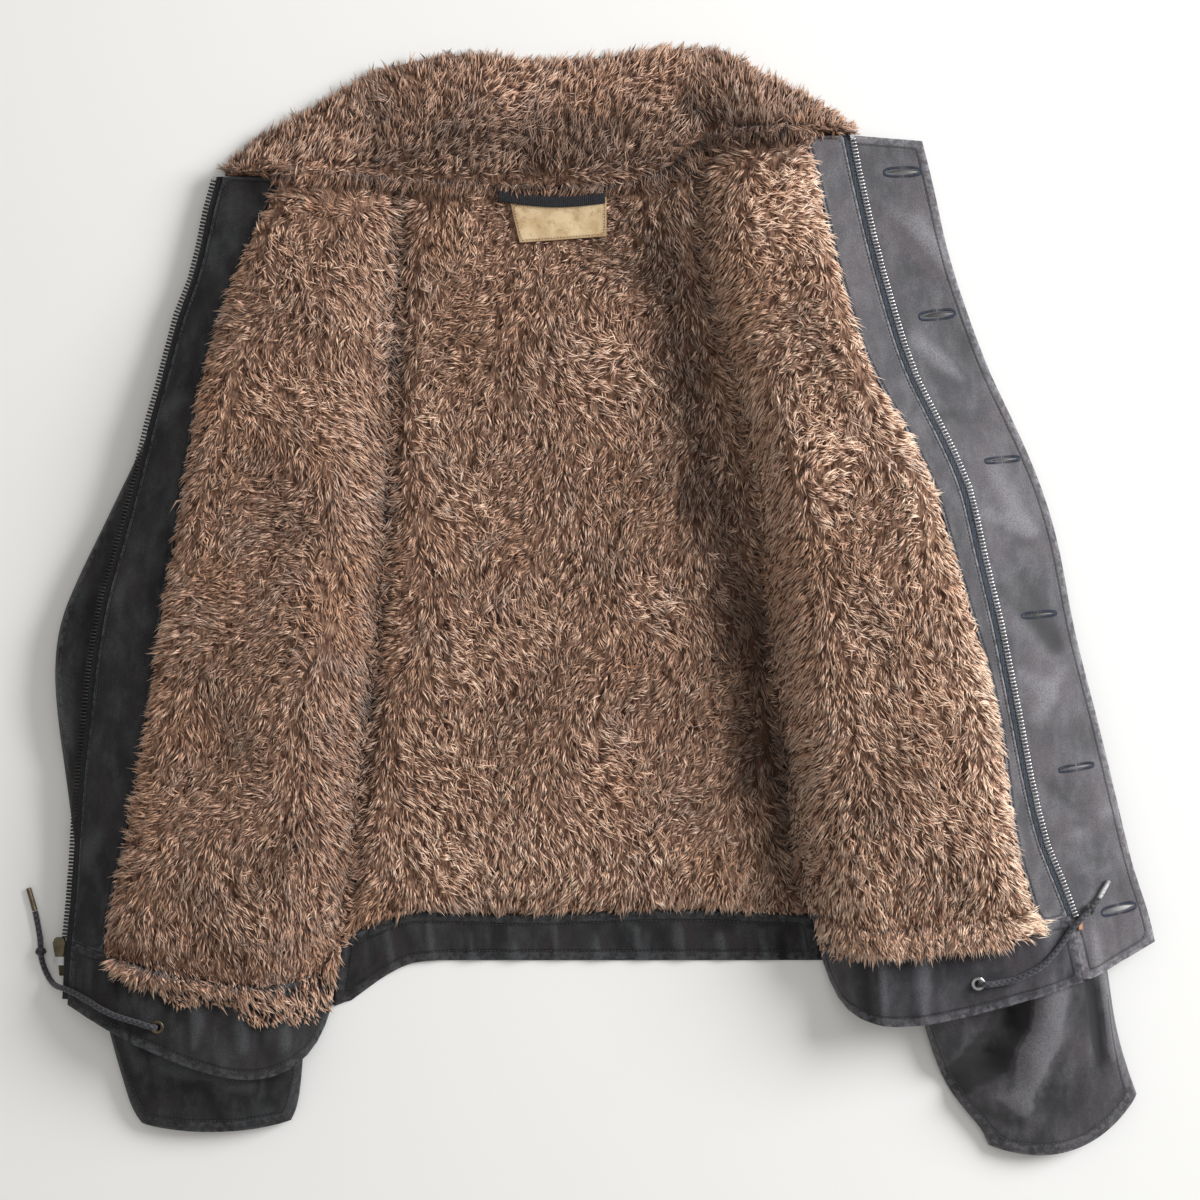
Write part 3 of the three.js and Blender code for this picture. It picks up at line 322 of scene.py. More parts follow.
recipes = {
    clothFinish: {
        # One black cloth in four copies: the lit, band and pale cloths are paler for the parts that face the
        # light, as painted light.
        "black cloth": [(0.006, 0.006, 0.008), (0.05, 0.054, 0.057), (0.024, 0.018, 0.02), 0.05, 0.35],
        "faded cloth": [(0.026, 0.026, 0.031), (0.13, 0.126, 0.138), (0.07, 0.06, 0.07), 0.25, 0.45],
        "band cloth": [(0.019, 0.019, 0.024), (0.1, 0.098, 0.112), (0.052, 0.044, 0.054), 0.22, 0.45],
        "pale cloth": [(0.085, 0.084, 0.094), (0.19, 0.185, 0.2), (0.14, 0.122, 0.138), 0.3, 0.5]},
    # The last colour of each pile finish is laid on as painted shade where the strips of painted shade lie.
    furFinish: {"pile locks": [
        [(0.0, (0.04, 0.019, 0.011)), (0.3, (0.205, 0.104, 0.064)), (0.56, (0.48, 0.278, 0.184)),
         (0.8, (0.78, 0.512, 0.365)), (1.0, (0.95, 0.74, 0.57))],
        (0.52, 0.42, 0.37), (0.55, 0.27, 0.13), (0.075, 0.04, 0.026)]},
    skinFinish: {"pile backing": [
        [(0.38, (0.05, 0.024, 0.016)), (0.5, (0.18, 0.1, 0.068)), (0.68, (0.46, 0.29, 0.2))],
        (0.04, 0.02, 0.013)]},
    threadFinish: {
        "navy thread": [(0.01, 0.016, 0.032), (0.035, 0.05, 0.085)],
        "dark thread": [(0.01, 0.01, 0.012), (0.03, 0.03, 0.034)],
        "grey thread": [(0.03, 0.031, 0.035), (0.085, 0.085, 0.095)]},
    tapeFinish: {
        "zip tape": [(0.012, 0.018, 0.03), (0.035, 0.046, 0.066), 0.3],
        "neck tape": [(0.003, 0.0032, 0.005), (0.011, 0.012, 0.018), 0.05]},
    metalFinish: {
        "steel": [(0.62, 0.62, 0.64), (0.3, 0.3, 0.31), 0.3],
        "zip metal": [(0.66, 0.66, 0.68), (0.33, 0.32, 0.32), 0.28],
        "dark zip metal": [(0.07, 0.068, 0.066), (0.02, 0.02, 0.02), 0.45],
        "dark brass": [(0.17, 0.14, 0.09), (0.05, 0.045, 0.035), 0.42],
        "copper": [(0.62, 0.33, 0.2), (0.25, 0.14, 0.09), 0.36]},
    buttonFinish: {"button": [(0.008, 0.009, 0.012), (0.03, 0.031, 0.036)]},
    labelFinish: {"label": [(0.78, 0.6, 0.37), (0.58, 0.41, 0.21), (0.32, 0.17, 0.07)]},
    cordFinish: {"cord": [(0.004, 0.004, 0.006), (0.062, 0.063, 0.077)]},
}
finishes = {name: make(name, *values) for make, rows in recipes.items() for name, values in rows.items()}

# Slots that hold several finishes. Any other finish has a slot of its own name.
slots = {
    "outer_cloth": ["black cloth", "faded cloth", "band cloth", "pale cloth", "dark thread", "grey thread"],
    "pile": ["pile locks", "pile backing"], "zip_tape": ["navy thread", "neck tape", "zip tape"],
    "zip_metal": ["zip metal", "dark zip metal"],
}
slotOf = {finish: slot for slot, row in slots.items() for finish in row}
print("finishes made:", len(finishes))


# Making pieces.

def finished(name, mesh, finish, *replaced):
    piece = bpy.data.objects.new(name, mesh)
    scene.collection.objects.link(piece)
    mesh.materials.clear()
    mesh.materials.append(finishes[finish])
    mesh.shade_smooth()
    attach(piece, "jacket")
    slotOf.get(finish, finish)
    if replaced:
        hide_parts(*replaced)
    return piece


def points(mesh):
    found = np.empty(len(mesh.vertices) * 3)
    mesh.vertices.foreach_get("co", found)
    return found.reshape(-1, 3)


def movePoints(mesh, found):
    mesh.vertices.foreach_set("co", found.ravel())
    mesh.update()


def mark(mesh, name, values):
    layer = mesh.attributes.new(name, "FLOAT", "POINT")
    layer.data.foreach_set("value", np.asarray(values, np.float32))


def marked(mesh, name):
    found = np.empty(len(mesh.vertices), np.float32)
    mesh.attributes[name].data.foreach_get("value", found)
    return found


def shapeOf(mesh):
    shape = bmesh.new()
    shape.from_mesh(mesh)
    return shape


def meshOf(shape, name):
    mesh = bpy.data.meshes.new(name)
    shape.to_mesh(mesh)
    shape.free()
    return mesh


def welded(node):
    shape = shapeOf(frame["nodes"][node].data)
    bmesh.ops.remove_doubles(shape, verts=shape.verts, dist=2e-6)
    return shape


# Rows of vectors: one number a row from two of them, or each times its own number.
def dot(first, second):
    return np.einsum("ij,ij->i", first, second)


def by(vectors, factors):
    return vectors * factors[:, None]


def unit(vectors):
    return vectors / np.maximum(1e-9, np.linalg.norm(vectors, axis=1))[:, None]


def flattened(vectors, normals):
    return vectors - by(normals, dot(vectors, normals))


def turned(x, y, angle):
    return x * np.cos(angle) - y * np.sin(angle), x * np.sin(angle) + y * np.cos(angle)


def sharpEdges(shape, least=0.87):
    return [edge for edge in shape.edges if len(edge.link_faces) == 2 and edge.calc_face_angle(0) > least]


# The solid's triangles are joined to quads, then halved so many times, with sharp edges kept.
def refined(shape, level, flat=0.6):
    bmesh.ops.join_triangles(shape, faces=shape.faces, angle_face_threshold=flat, angle_shape_threshold=0.9)
    crease = shape.edges.layers.float.new("crease_edge")
    for edge in sharpEdges(shape):
        edge[crease] = 1.0
    mesh = meshOf(shape, "rough")
    rough = bpy.data.objects.new("rough", mesh)
    scene.collection.objects.link(rough)
    finer = rough.modifiers.new("finer", "SUBSURF")
    finer.levels = level
    finer.render_levels = level
    finer.use_limit_surface = False
    ready = rough.evaluated_get(bpy.context.evaluated_depsgraph_get())
    made = bpy.data.meshes.new_from_object(ready)
    bpy.data.objects.remove(rough)
    bpy.data.meshes.remove(mesh)
    return made


# Buttonholes and eyelets, which have no hem round them: x, y, half length, half width, in mm.
holes = [[232, 328, 17, 6], [258, 218, 17, 7], [307, 107, 17, 6], [334, -11, 17, 6], [362, -127, 17, 6],
         [395, -235, 17, 7], [-334, -322, 8, 8], [284, -288, 8, 8]]


# The wall's cut edges are rounded, and each point is told how far it is from its hem.
def roundRims(mesh, radius):
    shape = shapeOf(mesh)
    rims = sharpEdges(shape)
    ends = np.array([[edge.verts[0].co, edge.verts[1].co] for edge in rims])
    bmesh.ops.bevel(shape, geom=rims, offset=radius, segments=2, profile=0.5, affect="EDGES",
                    material=-1, clamp_overlap=True)
    shape.to_mesh(mesh)
    shape.free()
    where = points(mesh)
    nearest = np.full(len(where), 1.0)
    middle = (ends.mean(axis=1) - np.array(layout)) / mm
    for x, y, long, wide in holes:
        apart = (np.abs(middle[:, 0] - x) > long) | (np.abs(middle[:, 1] - y) > wide)
        ends, middle = ends[apart], middle[apart]
    for first, second in ends:
        along = second - first
        share = np.clip((where - first) @ along / (along @ along + 1e-18), 0, 1)
        off = where - first - share[:, None] * along
        nearest = np.minimum(nearest, dot(off, off))
    mark(mesh, "rim", np.sqrt(nearest))


def clothMesh(node, level, radius):
    mesh = refined(welded(node), level)
    roundRims(mesh, radius * mm)
    return mesh


# Heights of a table of creases, each from x, y to x, y with a half width and a height, in mm.
def troughs(table, where):
    height = np.zeros(len(where))
    for x1, y1, x2, y2, wide, high in table:
        first = flatSpot(x1, y1)
        along = flatSpot(x2, y2) - first
        long = np.linalg.norm(along)
        reach = where[:, :2] - first
        share = reach @ along / long**2
        side = (reach[:, 0] * along[1] - reach[:, 1] * along[0]) / long
        past = np.maximum(0, np.abs(share - 0.5) - 0.5) * long
        height += high * mm * np.exp(-(side**2 + past**2 * 0.6) / (wide * mm) ** 2)
    return height


def ripple(where, scale, seed):
    return np.array([noise.noise(Vector((p[0] * scale + seed, p[1] * scale, seed))) for p in where])


# Drawstring: its route over the hem band, through the knot to the metal tip, in mm.
cords = {
    "right": {
        "route": [
            (-334, -322, 42.6), (-337, -321.2, 44.9), (-341.5, -320, 45.2), (-347, -318.4, 43.6),
            (-353, -317, 42.2), (-360, -315, 41.4), (-367, -313, 39.7), (-377, -309, 36.3),
            (-387, -304, 31.5), (-396, -300, 26.9), (-403, -297.5, 23), (-409, -296, 19.5),
            (-414, -295.5, 15), (-418.5, -294.5, 9.2), (-422.5, -291.5, 4.6), (-426, -286, 2.7),
            (-428.3, -280, 2.5), (-429.2, -275.4, 3.6), (-429.5, -270.5, 4.4), (-429.9, -265.6, 3.6),
            (-430.7, -259, 2.5), (-432.2, -250, 2.4), (-434.3, -239.5, 2.4)],
        "knot": (-429.5, -270.5, 4.6)},
    "left": {
        "route": [
            (284, -288, 50.4), (287, -288, 52.7), (291.5, -288, 52.9), (297, -287.5, 51.3),
            (304, -286.5, 50.1), (311, -285, 50.1), (320, -281, 50), (328, -277, 49.4), (335, -272, 48),
            (342, -265, 45.6), (348, -258, 43.4), (353, -251, 41.8), (358, -245.5, 41.3),
            (363, -240.5, 40.3), (367.5, -237, 37.5), (371, -233.5, 35.4), (374.4, -230, 34),
            (376, -228.2, 32.7), (377.6, -226.4, 31.4)],
        "knot": (371, -233.5, 35.4)},
}

# Both are tubes of rings: sides, strands, rings to a turn of the strands, radius and relief, in mm.
braided = {"round": 4.6, "step": 0.55, "sides": 16, "strands": 3, "turn": 8, "radius": 2.185, "relief": 0.161}
tied = {"size": 0.882, "rings": 60, "sides": 8, "strands": 2, "turn": 6, "radius": 1.71, "relief": 0.1026}


# Soft creases on the fronts, the same for every layer so that they stay on each other:
# from x, y to x, y, half width, height, in mm.
frontCreases = [
    [-398, -110, -372, -60, 9, -0.9], [-392, -20, -352, 20, 10, 0.8], [-380, 60, -340, 92, 9, -0.8],
    [-352, 130, -318, 150, 9, 0.8], [-330, 200, -300, 236, 10, -0.8], [-404, -210, -380, -180, 9, 0.9],
    [-396, -250, -366, -286, 8, -0.8], [-300, -318, -284, -352, 7, 0.7], [-256, -322, -252, -358, 6, -0.7],
    [-226, -300, -232, -336, 6, 0.6], [268, 250, 244, 290, 9, 0.8], [292, 160, 268, 210, 10, -0.9],
    [322, 60, 300, 96, 9, 0.9], [346, -30, 322, 10, 10, -1.1], [352, -50, 330, -88, 8, 0.8],
    [372, -110, 352, -76, 8, -0.9], [388, -160, 362, -178, 9, 0.9], [408, -200, 392, -222, 8, -0.8],
    [340, -250, 330, -290, 7, 0.8], [306, -252, 310, -300, 7, -0.7], [236, -258, 232, -306, 8, 0.7],
    [206, -262, 198, -304, 7, -0.7], [214, 306, 258, 268, 6, 0.8], [232, 252, 276, 240, 5, -0.7],
    [242, 196, 290, 160, 7, 0.9], [262, 140, 312, 132, 6, -0.8], [288, 66, 330, 52, 6, 0.9],
    [300, 10, 346, -36, 6, -0.9], [318, -56, 362, -84, 6, 0.8], [338, -140, 382, -176, 7, -0.9],
    [362, -204, 398, -208, 6, 0.8],
]


# Creases that cross the hem bands: x at the top, x at the bottom, half width, height.
bandCreases = {
    "right": {"from": -252, "to": -336, "rows": [
        [-384, -392, 4, 0.9], [-362, -368, 3, -0.9], [-349, -352, 4, 1.1], [-322, -330, 5, -1.2],
        [-304, -306, 4, 1.2], [-291, -296, 3, -0.8], [-272, -270, 5, 1.1], [-254, -258, 4, -1.2],
        [-240, -238, 4, 1.0], [-224, -229, 4, -1.0]]},
    "left": {"from": -240, "to": -318, "rows": [
        [196, 204, 4, -1.1], [210, 214, 4, 1.2], [226, 232, 5, -1.3], [243, 244, 4, 1.0],
        [258, 264, 4, -1.0], [302, 308, 4, 1.2], [318, 322, 3, -0.9], [336, 344, 4, 1.1],
        [352, 356, 4, -1.1], [372, 384, 4, 0.9], [392, 402, 4, -0.9]]},
}


# The creases lie quieter near the drawstring, which rests on them.
def rumple(where):
    near = np.full(len(where), 1.0)
    for cord in cords.values():
        for place in cord["route"]:
            near = np.minimum(near, np.linalg.norm(where[:, :2] - flatSpot(*place), axis=1))
    quiet = 1 - 0.85 * np.exp(-(near / (13 * mm)) ** 2)
    rows = [[top, make["from"], foot, make["to"], wide, high]
            for make in bandCreases.values() for top, foot, wide, high in make["rows"]]
    creases = troughs(frontCreases, where) * 1.5 + troughs(rows, where) * 1.35
    return (creases + ripple(where, 21, 3.1) * 0.0009) * quiet


# Each point's distance from the row of stitches, more than nothing between the row and the edge.
def sewn(mesh, node):
    inset, _, below = stitching.get(node, (0, None, -math.inf))
    kept = (points(mesh)[:, 1] - layout.y) / mm < below
    mark(mesh, "seam", np.where(kept, inset * mm - marked(mesh, "rim"), -1))


# The crease height is kept as fold; from it the cloth's finish paints shade in the valleys and a highlight on
# the ridges.
def settle(mesh, shift):
    where = points(mesh)
    rise = shift(where)
    where[:, 2] = np.maximum(where[:, 2] + rise, 0.0001)
    movePoints(mesh, where)
    mark(mesh, "fold", rise / mm)


def evenly(route, step):
    path = np.array(route, float)
    reach = np.concatenate([[0], np.cumsum(np.linalg.norm(np.diff(path, axis=0), axis=1))])
    count = max(2, round(reach[-1] / step) + 1)
    at = np.linspace(0, reach[-1], count)
    return np.stack([np.interp(at, reach, path[:, n]) for n in range(path.shape[1])], axis=1)


def softened(path, turns=2):
    for _ in range(turns):
        path = np.concatenate([path[:1], (path[:-2] + 2 * path[1:-1] + path[2:]) / 4, path[-1:]])
    return path


def tangents(path):
    return unit(np.gradient(path, axis=0))


# Rings as a centre and two directions across: along the cord's route, and round an overhand knot.
def cordRings(path):
    ahead = tangents(path)
    side = Vector((0, 0, 1)).cross(Vector(ahead[0])).normalized()
    for place, way in zip(path, ahead):
        way = Vector(way)
        side = (side - way * side.dot(way)).normalized()
        yield Vector(place), side, way.cross(side)


def knotRings(middle):
    loop = []
    for n in range(tied["rings"]):
        t = 2 * math.pi * n / tied["rings"]
        loop.append(Vector((math.sin(t) + 2 * math.sin(2 * t), math.cos(t) - 2 * math.cos(2 * t),
                            -1.4 * math.sin(3 * t))) * (tied["size"] * mm))
    for n, place in enumerate(loop):
        way = (loop[(n + 1) % len(loop)] - loop[n - 1]).normalized()
        side = way.cross(Vector((0.2, 0.1, 1))).normalized()
        yield middle + place, side, way.cross(side)


# A tube through the rings, its surface raised where the strands cross.
def tube(name, rings, make, closed):
    shape = bmesh.new()
    loops = []
    raised = []
    for n, (centre, side, up) in enumerate(rings):
        verts = bmesh.ops.create_circle(shape, segments=make["sides"], radius=1)["verts"]
        for k, vert in enumerate(verts):
            angle = 2 * math.pi * k / make["sides"]
            raised.append(math.cos(make["strands"] * angle) * math.cos(2 * math.pi * n / make["turn"]))
            radius = (make["radius"] + make["relief"] * raised[-1]) * mm
            vert.co = centre + side * (math.cos(angle) * radius) + up * (math.sin(angle) * radius)
        loops.append([edge for edge in shape.edges if edge.verts[0] in verts and edge.verts[1] in verts])
    for first, second in zip(loops, loops[1:] + loops[:1] * closed):
        bmesh.ops.bridge_loops(shape, edges=first + second)
    if not closed:
        bmesh.ops.contextual_create(shape, geom=loops[0])
        bmesh.ops.contextual_create(shape, geom=loops[-1])
    bmesh.ops.recalc_face_normals(shape, faces=shape.faces)
    mesh = meshOf(shape, name)
    mark(mesh, "strand", raised)
    return mesh


def buildCords():
    for side, cord in cords.items():
        path = softened(evenly([tuple(spot(*place)) for place in cord["route"]], braided["step"] * mm))
        length = round(float(np.linalg.norm(np.diff(path, axis=0), axis=1).sum()), 4)
        name = f"drawstring_{side}"
        string = finished(name, tube(name, cordRings(path), braided, False), "cord",
                          f"cord_{side}", f"cord_tail_{side}")
        name = f"drawstring_knot_{side}"
        knot = finished(name, tube(name, knotRings(spot(*cord["knot"])), tied, True), "cord", f"knot_{side}")
        tuple(spot(*cord["route"][0]))
        [tuple(place) for place in path]
        print("drawstring", side, "length", length)


buildCords()


# Floor and lights: a pale floor, one large soft light from the upper right and a weak one above.

studio = {
    "floor": (0.86, 0.86, 0.85), "floor wide": 9.0,
    "window": {"from": (3.0, 1.25, 1.75), "size": 2.0, "power": 168, "colour": (0.98, 0.99, 1)},
    "ceiling": {"from": (0.2, 0.6, 2.9), "size": 2.2, "power": 12, "colour": (1, 1, 1)},
    "sky": 0.42, "sky colour": (1, 0.97, 0.93, 1),
}


def buildStudio():
    ground = bmesh.new()
    bmesh.ops.create_grid(ground, x_segments=2, y_segments=2, size=studio["floor wide"] / 2)
    mesh = meshOf(ground, "floor")
    floor = bpy.data.objects.new("floor", mesh)
    finish = Finish("pale floor", 0.7, Specular_IOR_Level=0.25)
    shade = finish.blend(finish.noise(1.6, 3) * 0.3, studio["floor"], times(studio["floor"], 0.93))
    mesh.materials.append(finish.coat(shade))
    scene.collection.objects.link(floor)
    for name in ("window", "ceiling"):
        kind = studio[name]
        light = bpy.data.lights.new(name, "AREA")
        light.shape = "DISK"
        light.size = kind["size"]
        light.energy = kind["power"]
        light.color = kind["colour"]
        lamp = bpy.data.objects.new(name, light)
        lamp.location = kind["from"]
        lamp.rotation_euler = (-Vector(kind["from"])).to_track_quat("-Z", "Y").to_euler()
        scene.collection.objects.link(lamp)
    world = bpy.data.worlds.new("studio")
    world.use_nodes = True
    sky = world.node_tree.nodes["Background"]
    sky.inputs["Color"].default_value = studio["sky colour"]
    sky.inputs["Strength"].default_value = studio["sky"]
    scene.world = world
    scene.view_settings.view_transform = "Standard"
    scene.view_settings.look = "None"


buildStudio()
print("camera, floor and lights set")


# Cloth panels: how often the solid's grid is halved, finish, and the cut's flat size and area.

panels = {
    "back_shell": (0, "black cloth", (0.49, 0.66), 0.213),
    "back_hem_band": (3, "black cloth", (0.375, 0.04), 0.0142),
    "right_front_shell": (1, "black cloth", (0.26, 0.69), 0.137),
    "right_front_hem_band": (3, "black cloth", (0.255, 0.056), 0.014),
    "right_front_facing": (2, "black cloth", (0.052, 0.6), 0.0236),
    # The left front, its hem band, its facing, the wind flap and the left sleeve face the light and take the
    # paler copies of the cloth: painted light.
    "left_front_shell": (1, "faded cloth", (0.27, 0.68), 0.116),
    "left_front_hem_band": (3, "band cloth", (0.25, 0.054), 0.0132),
    "left_front_facing": (2, "pale cloth", (0.035, 0.61), 0.0137),
    "wind_flap": (2, "pale cloth", (0.08, 0.66), 0.0457),
    "collar_shell": (2, "black cloth", (0.483, 0.11), 0.0375),
    "sleeve_right": (2, "black cloth", (0.38, 0.67), 0.2125),
    "sleeve_left": (2, "faded cloth", (0.36, 0.68), 0.1966),
}

# Rows of stitches, in mm: how far in from the edge, the thread, and below which y they run.
stitching = {
    "right_front_hem_band": (7.0, "dark thread", math.inf),
    "left_front_hem_band": (7.0, "dark thread", math.inf),
    "back_hem_band": (7.0, "dark thread", math.inf),
    "right_front_facing": (2.2, "dark thread", math.inf),
    "left_front_facing": (2.2, "dark thread", math.inf),
    "wind_flap": (6.5, "grey thread", math.inf),
    "sleeve_right": (9.0, "dark thread", -300),
    "sleeve_left": (9.0, "grey thread", -300),
}

# How the cloth puffs up on both sides of a topstitched row, in mm.
puff = {"inset": 6.5, "high": 0.5, "groove": 2.6, "fade": 14, "gathers": 1.1, "spread": 6, "hem": 0.8}

# Sleeve creases that show past the hems, and like ones higher up: from x, y to x, y, half width, height.
sleeveCreases = [
    [318, -286, 314, -318, 9, -9.0], [314, -318, 298, -346, 10, -9.0], [298, -346, 268, -370, 10, -8.0],
    [342, -296, 330, -348, 12, 4.5], [384, -290, 391, -344, 4, 3.2], [373, -292, 382, -352, 5, -3.2],
    [330, -348, 322, -384, 9, 2.6], [345, -352, 338, -384, 7, -2.2],
    [292, -392, 322, -400, 6, -1.6], [300, -376, 320, -384, 6, 1.4], [362, -374, 350, -396, 7, -1.4],
    [338, -300, 342, -330, 9, 1.6], [-344, -330, -300, -346, 9, -2.8], [-330, -352, -262, -372, 10, 2.4],
    [-300, -372, -292, -396, 6, -2.2], [-248, -340, -256, -380, 6, -2.4], [-366, -318, -352, -352, 6, 2.0],
    [-408, 20, -396, -40, 7, -1.3], [-418, -60, -404, -110, 7, 1.2], [-412, -120, -400, -170, 6, -1.2],
]
bandPuckers = [[x, -250 - (x % 3) * 4, x + 9, -312, 3.4, 0.5 if n % 2 else -0.45]
               for n, x in enumerate(range(-180, 170, 16))]


def sleeveShift(where):
    raised = np.clip(where[:, 2] / (15 * mm), 0, 1)      # the layer on the floor stays as it is
    return (troughs(sleeveCreases, where) + ripple(where, 24, 7.7) * 0.0014) * raised


def bandShift(where):
    return (troughs(bandPuckers, where) * 3 + ripple(where, 60, 5.2) * 0.0008) * (where[:, 2] > 0.0025)


def shiftFor(node):
    if "front" in node or node.startswith(("wind", "zip")):
        return rumple
    if "sleeve" in node:
        return sleeveShift
    return bandShift if node == "back_hem_band" else None


def puffed(mesh):
    where = points(mesh)
    rim = marked(mesh, "rim")
    normals = np.empty(len(where) * 3, np.float32)
    mesh.vertices.foreach_get("normal", normals)
    upper = normals.reshape(-1, 3)[:, 2] > 0.35
    off = rim / mm - puff["inset"]
    swell = 1 - np.exp(-(off / puff["groove"]) ** 2)
    gathers = ripple(where, 150, 2.4) * np.exp(-(off / puff["spread"]) ** 2)
    near = np.exp(-np.maximum(0, off) / puff["fade"])
    rise = puff["high"] * swell * near + puff["gathers"] * gathers
    where[:, 2] += upper * rise * mm * (rim > puff["hem"] * mm)
    movePoints(mesh, where)


def panelPiece(node, level, finish, flat, area):
    mesh = clothMesh(node, level, 0.4)
    shift = shiftFor(node)
    if shift:
        settle(mesh, shift)
    if node in stitching and "sleeve" not in node:
        puffed(mesh)
    sewn(mesh, node)
    piece = finished(node + "_cloth", mesh, finish, node)
    return piece


cloth = {node: panelPiece(node, *row) for node, row in panels.items()}
print("cloth panels made:", len(cloth))


# Many small parts as one mesh: places holds, for each copy, where its template's points go.

def joined(name, template, places):
    faces = [[vert.index for vert in face.verts] for face in template.faces]
    sizes = np.array([len(face) for face in faces])
    corners = np.concatenate(faces)
    count, each = places.shape[:2]
    copies = np.arange(count)[:, None]
    mesh = bpy.data.meshes.new(name)
    mesh.vertices.add(count * each)
    mesh.vertices.foreach_set("co", places.astype(np.float32).ravel())
    mesh.loops.add(count * len(corners))
    indices = (corners[None, :] + copies * each).ravel()
    mesh.loops.foreach_set("vertex_index", indices.astype(np.int32))
    starts = np.concatenate([[0], np.cumsum(sizes)[:-1]])
    mesh.polygons.add(count * len(faces))
    starts = (starts[None, :] + copies * len(corners)).ravel()
    mesh.polygons.foreach_set("loop_start", starts.astype(np.int32))
    mesh.update(calc_edges=True)
    return mesh


def corners(template):
    template.verts.index_update()
    return np.array([vert.co for vert in template.verts])


# Copies of a template, its X along each direction and its Z along each normal.
def placed(template, where, along, normal):
    along = unit(flattened(along, normal))
    across = np.cross(normal, along)
    co = corners(template)
    return (where[:, None, :] + co[None, :, 0, None] * along[:, None, :]
            + co[None, :, 1, None] * across[:, None, :] + co[None, :, 2, None] * normal[:, None, :])


# Thread as beads: each spot is a place, the bead's way and its normal.
def beads(name, spots, size, thread):
    template = bmesh.new()
    bmesh.ops.create_icosphere(template, subdivisions=1, radius=0.5)
    scale = tuple(size[key] * mm for key in ("long", "wide", "high"))
    bmesh.ops.scale(template, verts=template.verts, vec=scale)
    places = placed(template, *(np.array(row) for row in zip(*spots)))
    return finished(name, joined(name, template, places), thread)


def surfaceOf(piece):
    shape = shapeOf(piece.data)
    tree = BVHTree.FromBMesh(shape)
    shape.free()
    return tree


# Lines that run at one distance from a panel's edges, over the side that faces up.
def contours(piece, inset):
    shape = shapeOf(piece.data)
    rim = shape.verts.layers.float["rim"]
    level = inset * mm
    links = {}
    for face in shape.faces:
        if face.normal.z < 0.3:
            continue
        cut = [edge.index for edge in face.edges
               if (edge.verts[0][rim] - level) * (edge.verts[1][rim] - level) < 0]
        if len(cut) == 2:
            links.setdefault(cut[0], []).append(cut[1])
            links.setdefault(cut[1], []).append(cut[0])
    shape.edges.ensure_lookup_table()
    lines = []
    unused = set(links)
    starts = [edge for edge in links if len(links[edge]) == 1] + list(links)
    for start in starts:
        if start not in unused:
            continue
        line = []
        here = start
        while here is not None:
            unused.discard(here)
            first, second = shape.edges[here].verts
            share = (level - first[rim]) / (second[rim] - first[rim])
            line.append(first.co.lerp(second.co, share)[:])
            here = next((edge for edge in links[here] if edge in unused), None)
        lines.append(np.array(line))
    shape.free()
    return lines


stitch = {"pitch": 3.0, "long": 2.3, "wide": 0.75, "high": 0.6}
labelStitch = {"pitch": 2.4, "long": 1.8, "wide": 0.5, "high": 0.4}
shortest = 30 * mm      # a line shorter than this isn't sewn


def stitchRow(name, piece, inset, thread, below=math.inf, size=stitch):
    tree = surfaceOf(piece)
    spots = []
    for line in contours(piece, inset):
        if np.linalg.norm(np.diff(line, axis=0), axis=1).sum() < shortest:
            continue
        path = softened(evenly(line, size["pitch"] * mm), 1)
        for place, way in zip(path, tangents(path)):
            place = Vector(place)
            if (place - layout).y / mm >= below:
                continue
            hit, normal, _, _ = tree.find_nearest(place)
            covered = tree.ray_cast(place + Vector((0, 0, 0.0015)), Vector((0, 0, 1)))[0]
            if hit is not None and covered is None:
                spots.append((hit + normal * 0.12 * mm, way, normal))
    print(name, len(spots))
    return beads(name, spots, size, thread)


for node, (inset, thread, below) in stitching.items():
    stitchRow(f"stitches_{node}", cloth[node], inset, thread, below)


# Buttonholes: thread worked round each slit, in mm: centre, opening, tilt in degrees.
buttonholes = [
    [232, 328, 3.8, 2], [258, 218, 3.8, 8], [307, 107, 1.2, 6], [334, -11, 1.2, 5], [362, -127, 1.2, 8],
    [395, -235, 3.8, 10],
]
holeWork = {"slit": 26, "pitch": 0.62, "long": 2.7, "wide": 0.6, "high": 0.75}


# Cosine and sine with squarer corners, so that the thread runs round a slot.
def slotWay(angle):
    return [math.copysign(abs(part) ** 0.75, part) for part in (math.cos(angle), math.sin(angle))]


def buildButtonholes():
    tree = surfaceOf(cloth["wind_flap"])
    spots = []
    for x, y, opening, tilt in buttonholes:
        tilt = math.radians(tilt)
        long = holeWork["slit"] / 2 + 1.2
        wide = opening / 2 + 1.5
        count = round((4 * long + 4 * wide) / holeWork["pitch"])
        for n in range(count):
            cosine, sine = slotWay(2 * math.pi * n / count)
            offX, offY = turned(cosine * long, sine * wide, tilt)
            out = Vector((*turned(cosine / long, sine / wide, tilt), 0))
            hit, normal, _, _ = tree.ray_cast(spot(x + offX, y + offY, 60), Vector((0, 0, -1)))
            if hit is not None and normal.z > 0.5:
                spots.append((hit + normal * 0.1 * mm, out, normal))
    beads("buttonhole_stitches", spots, holeWork, "navy thread")


buildButtonholes()
print("stitches and buttonholes made")


# Zip: ribbed tape, and teeth one by one along the line that the solid rows of teeth follow.

zipper = {"pitch": 2.75, "along": 1.45, "wide": 4.4, "high": 2.6}


def centreline(node):
    where = points(frame["nodes"][node].data)
    where = where[np.argsort(where[:, 1])]
    breaks = np.where(np.diff(where[:, 1]) > 1.5 * mm)[0] + 1
    return np.array([group.mean(axis=0) for group in np.split(where, breaks)])


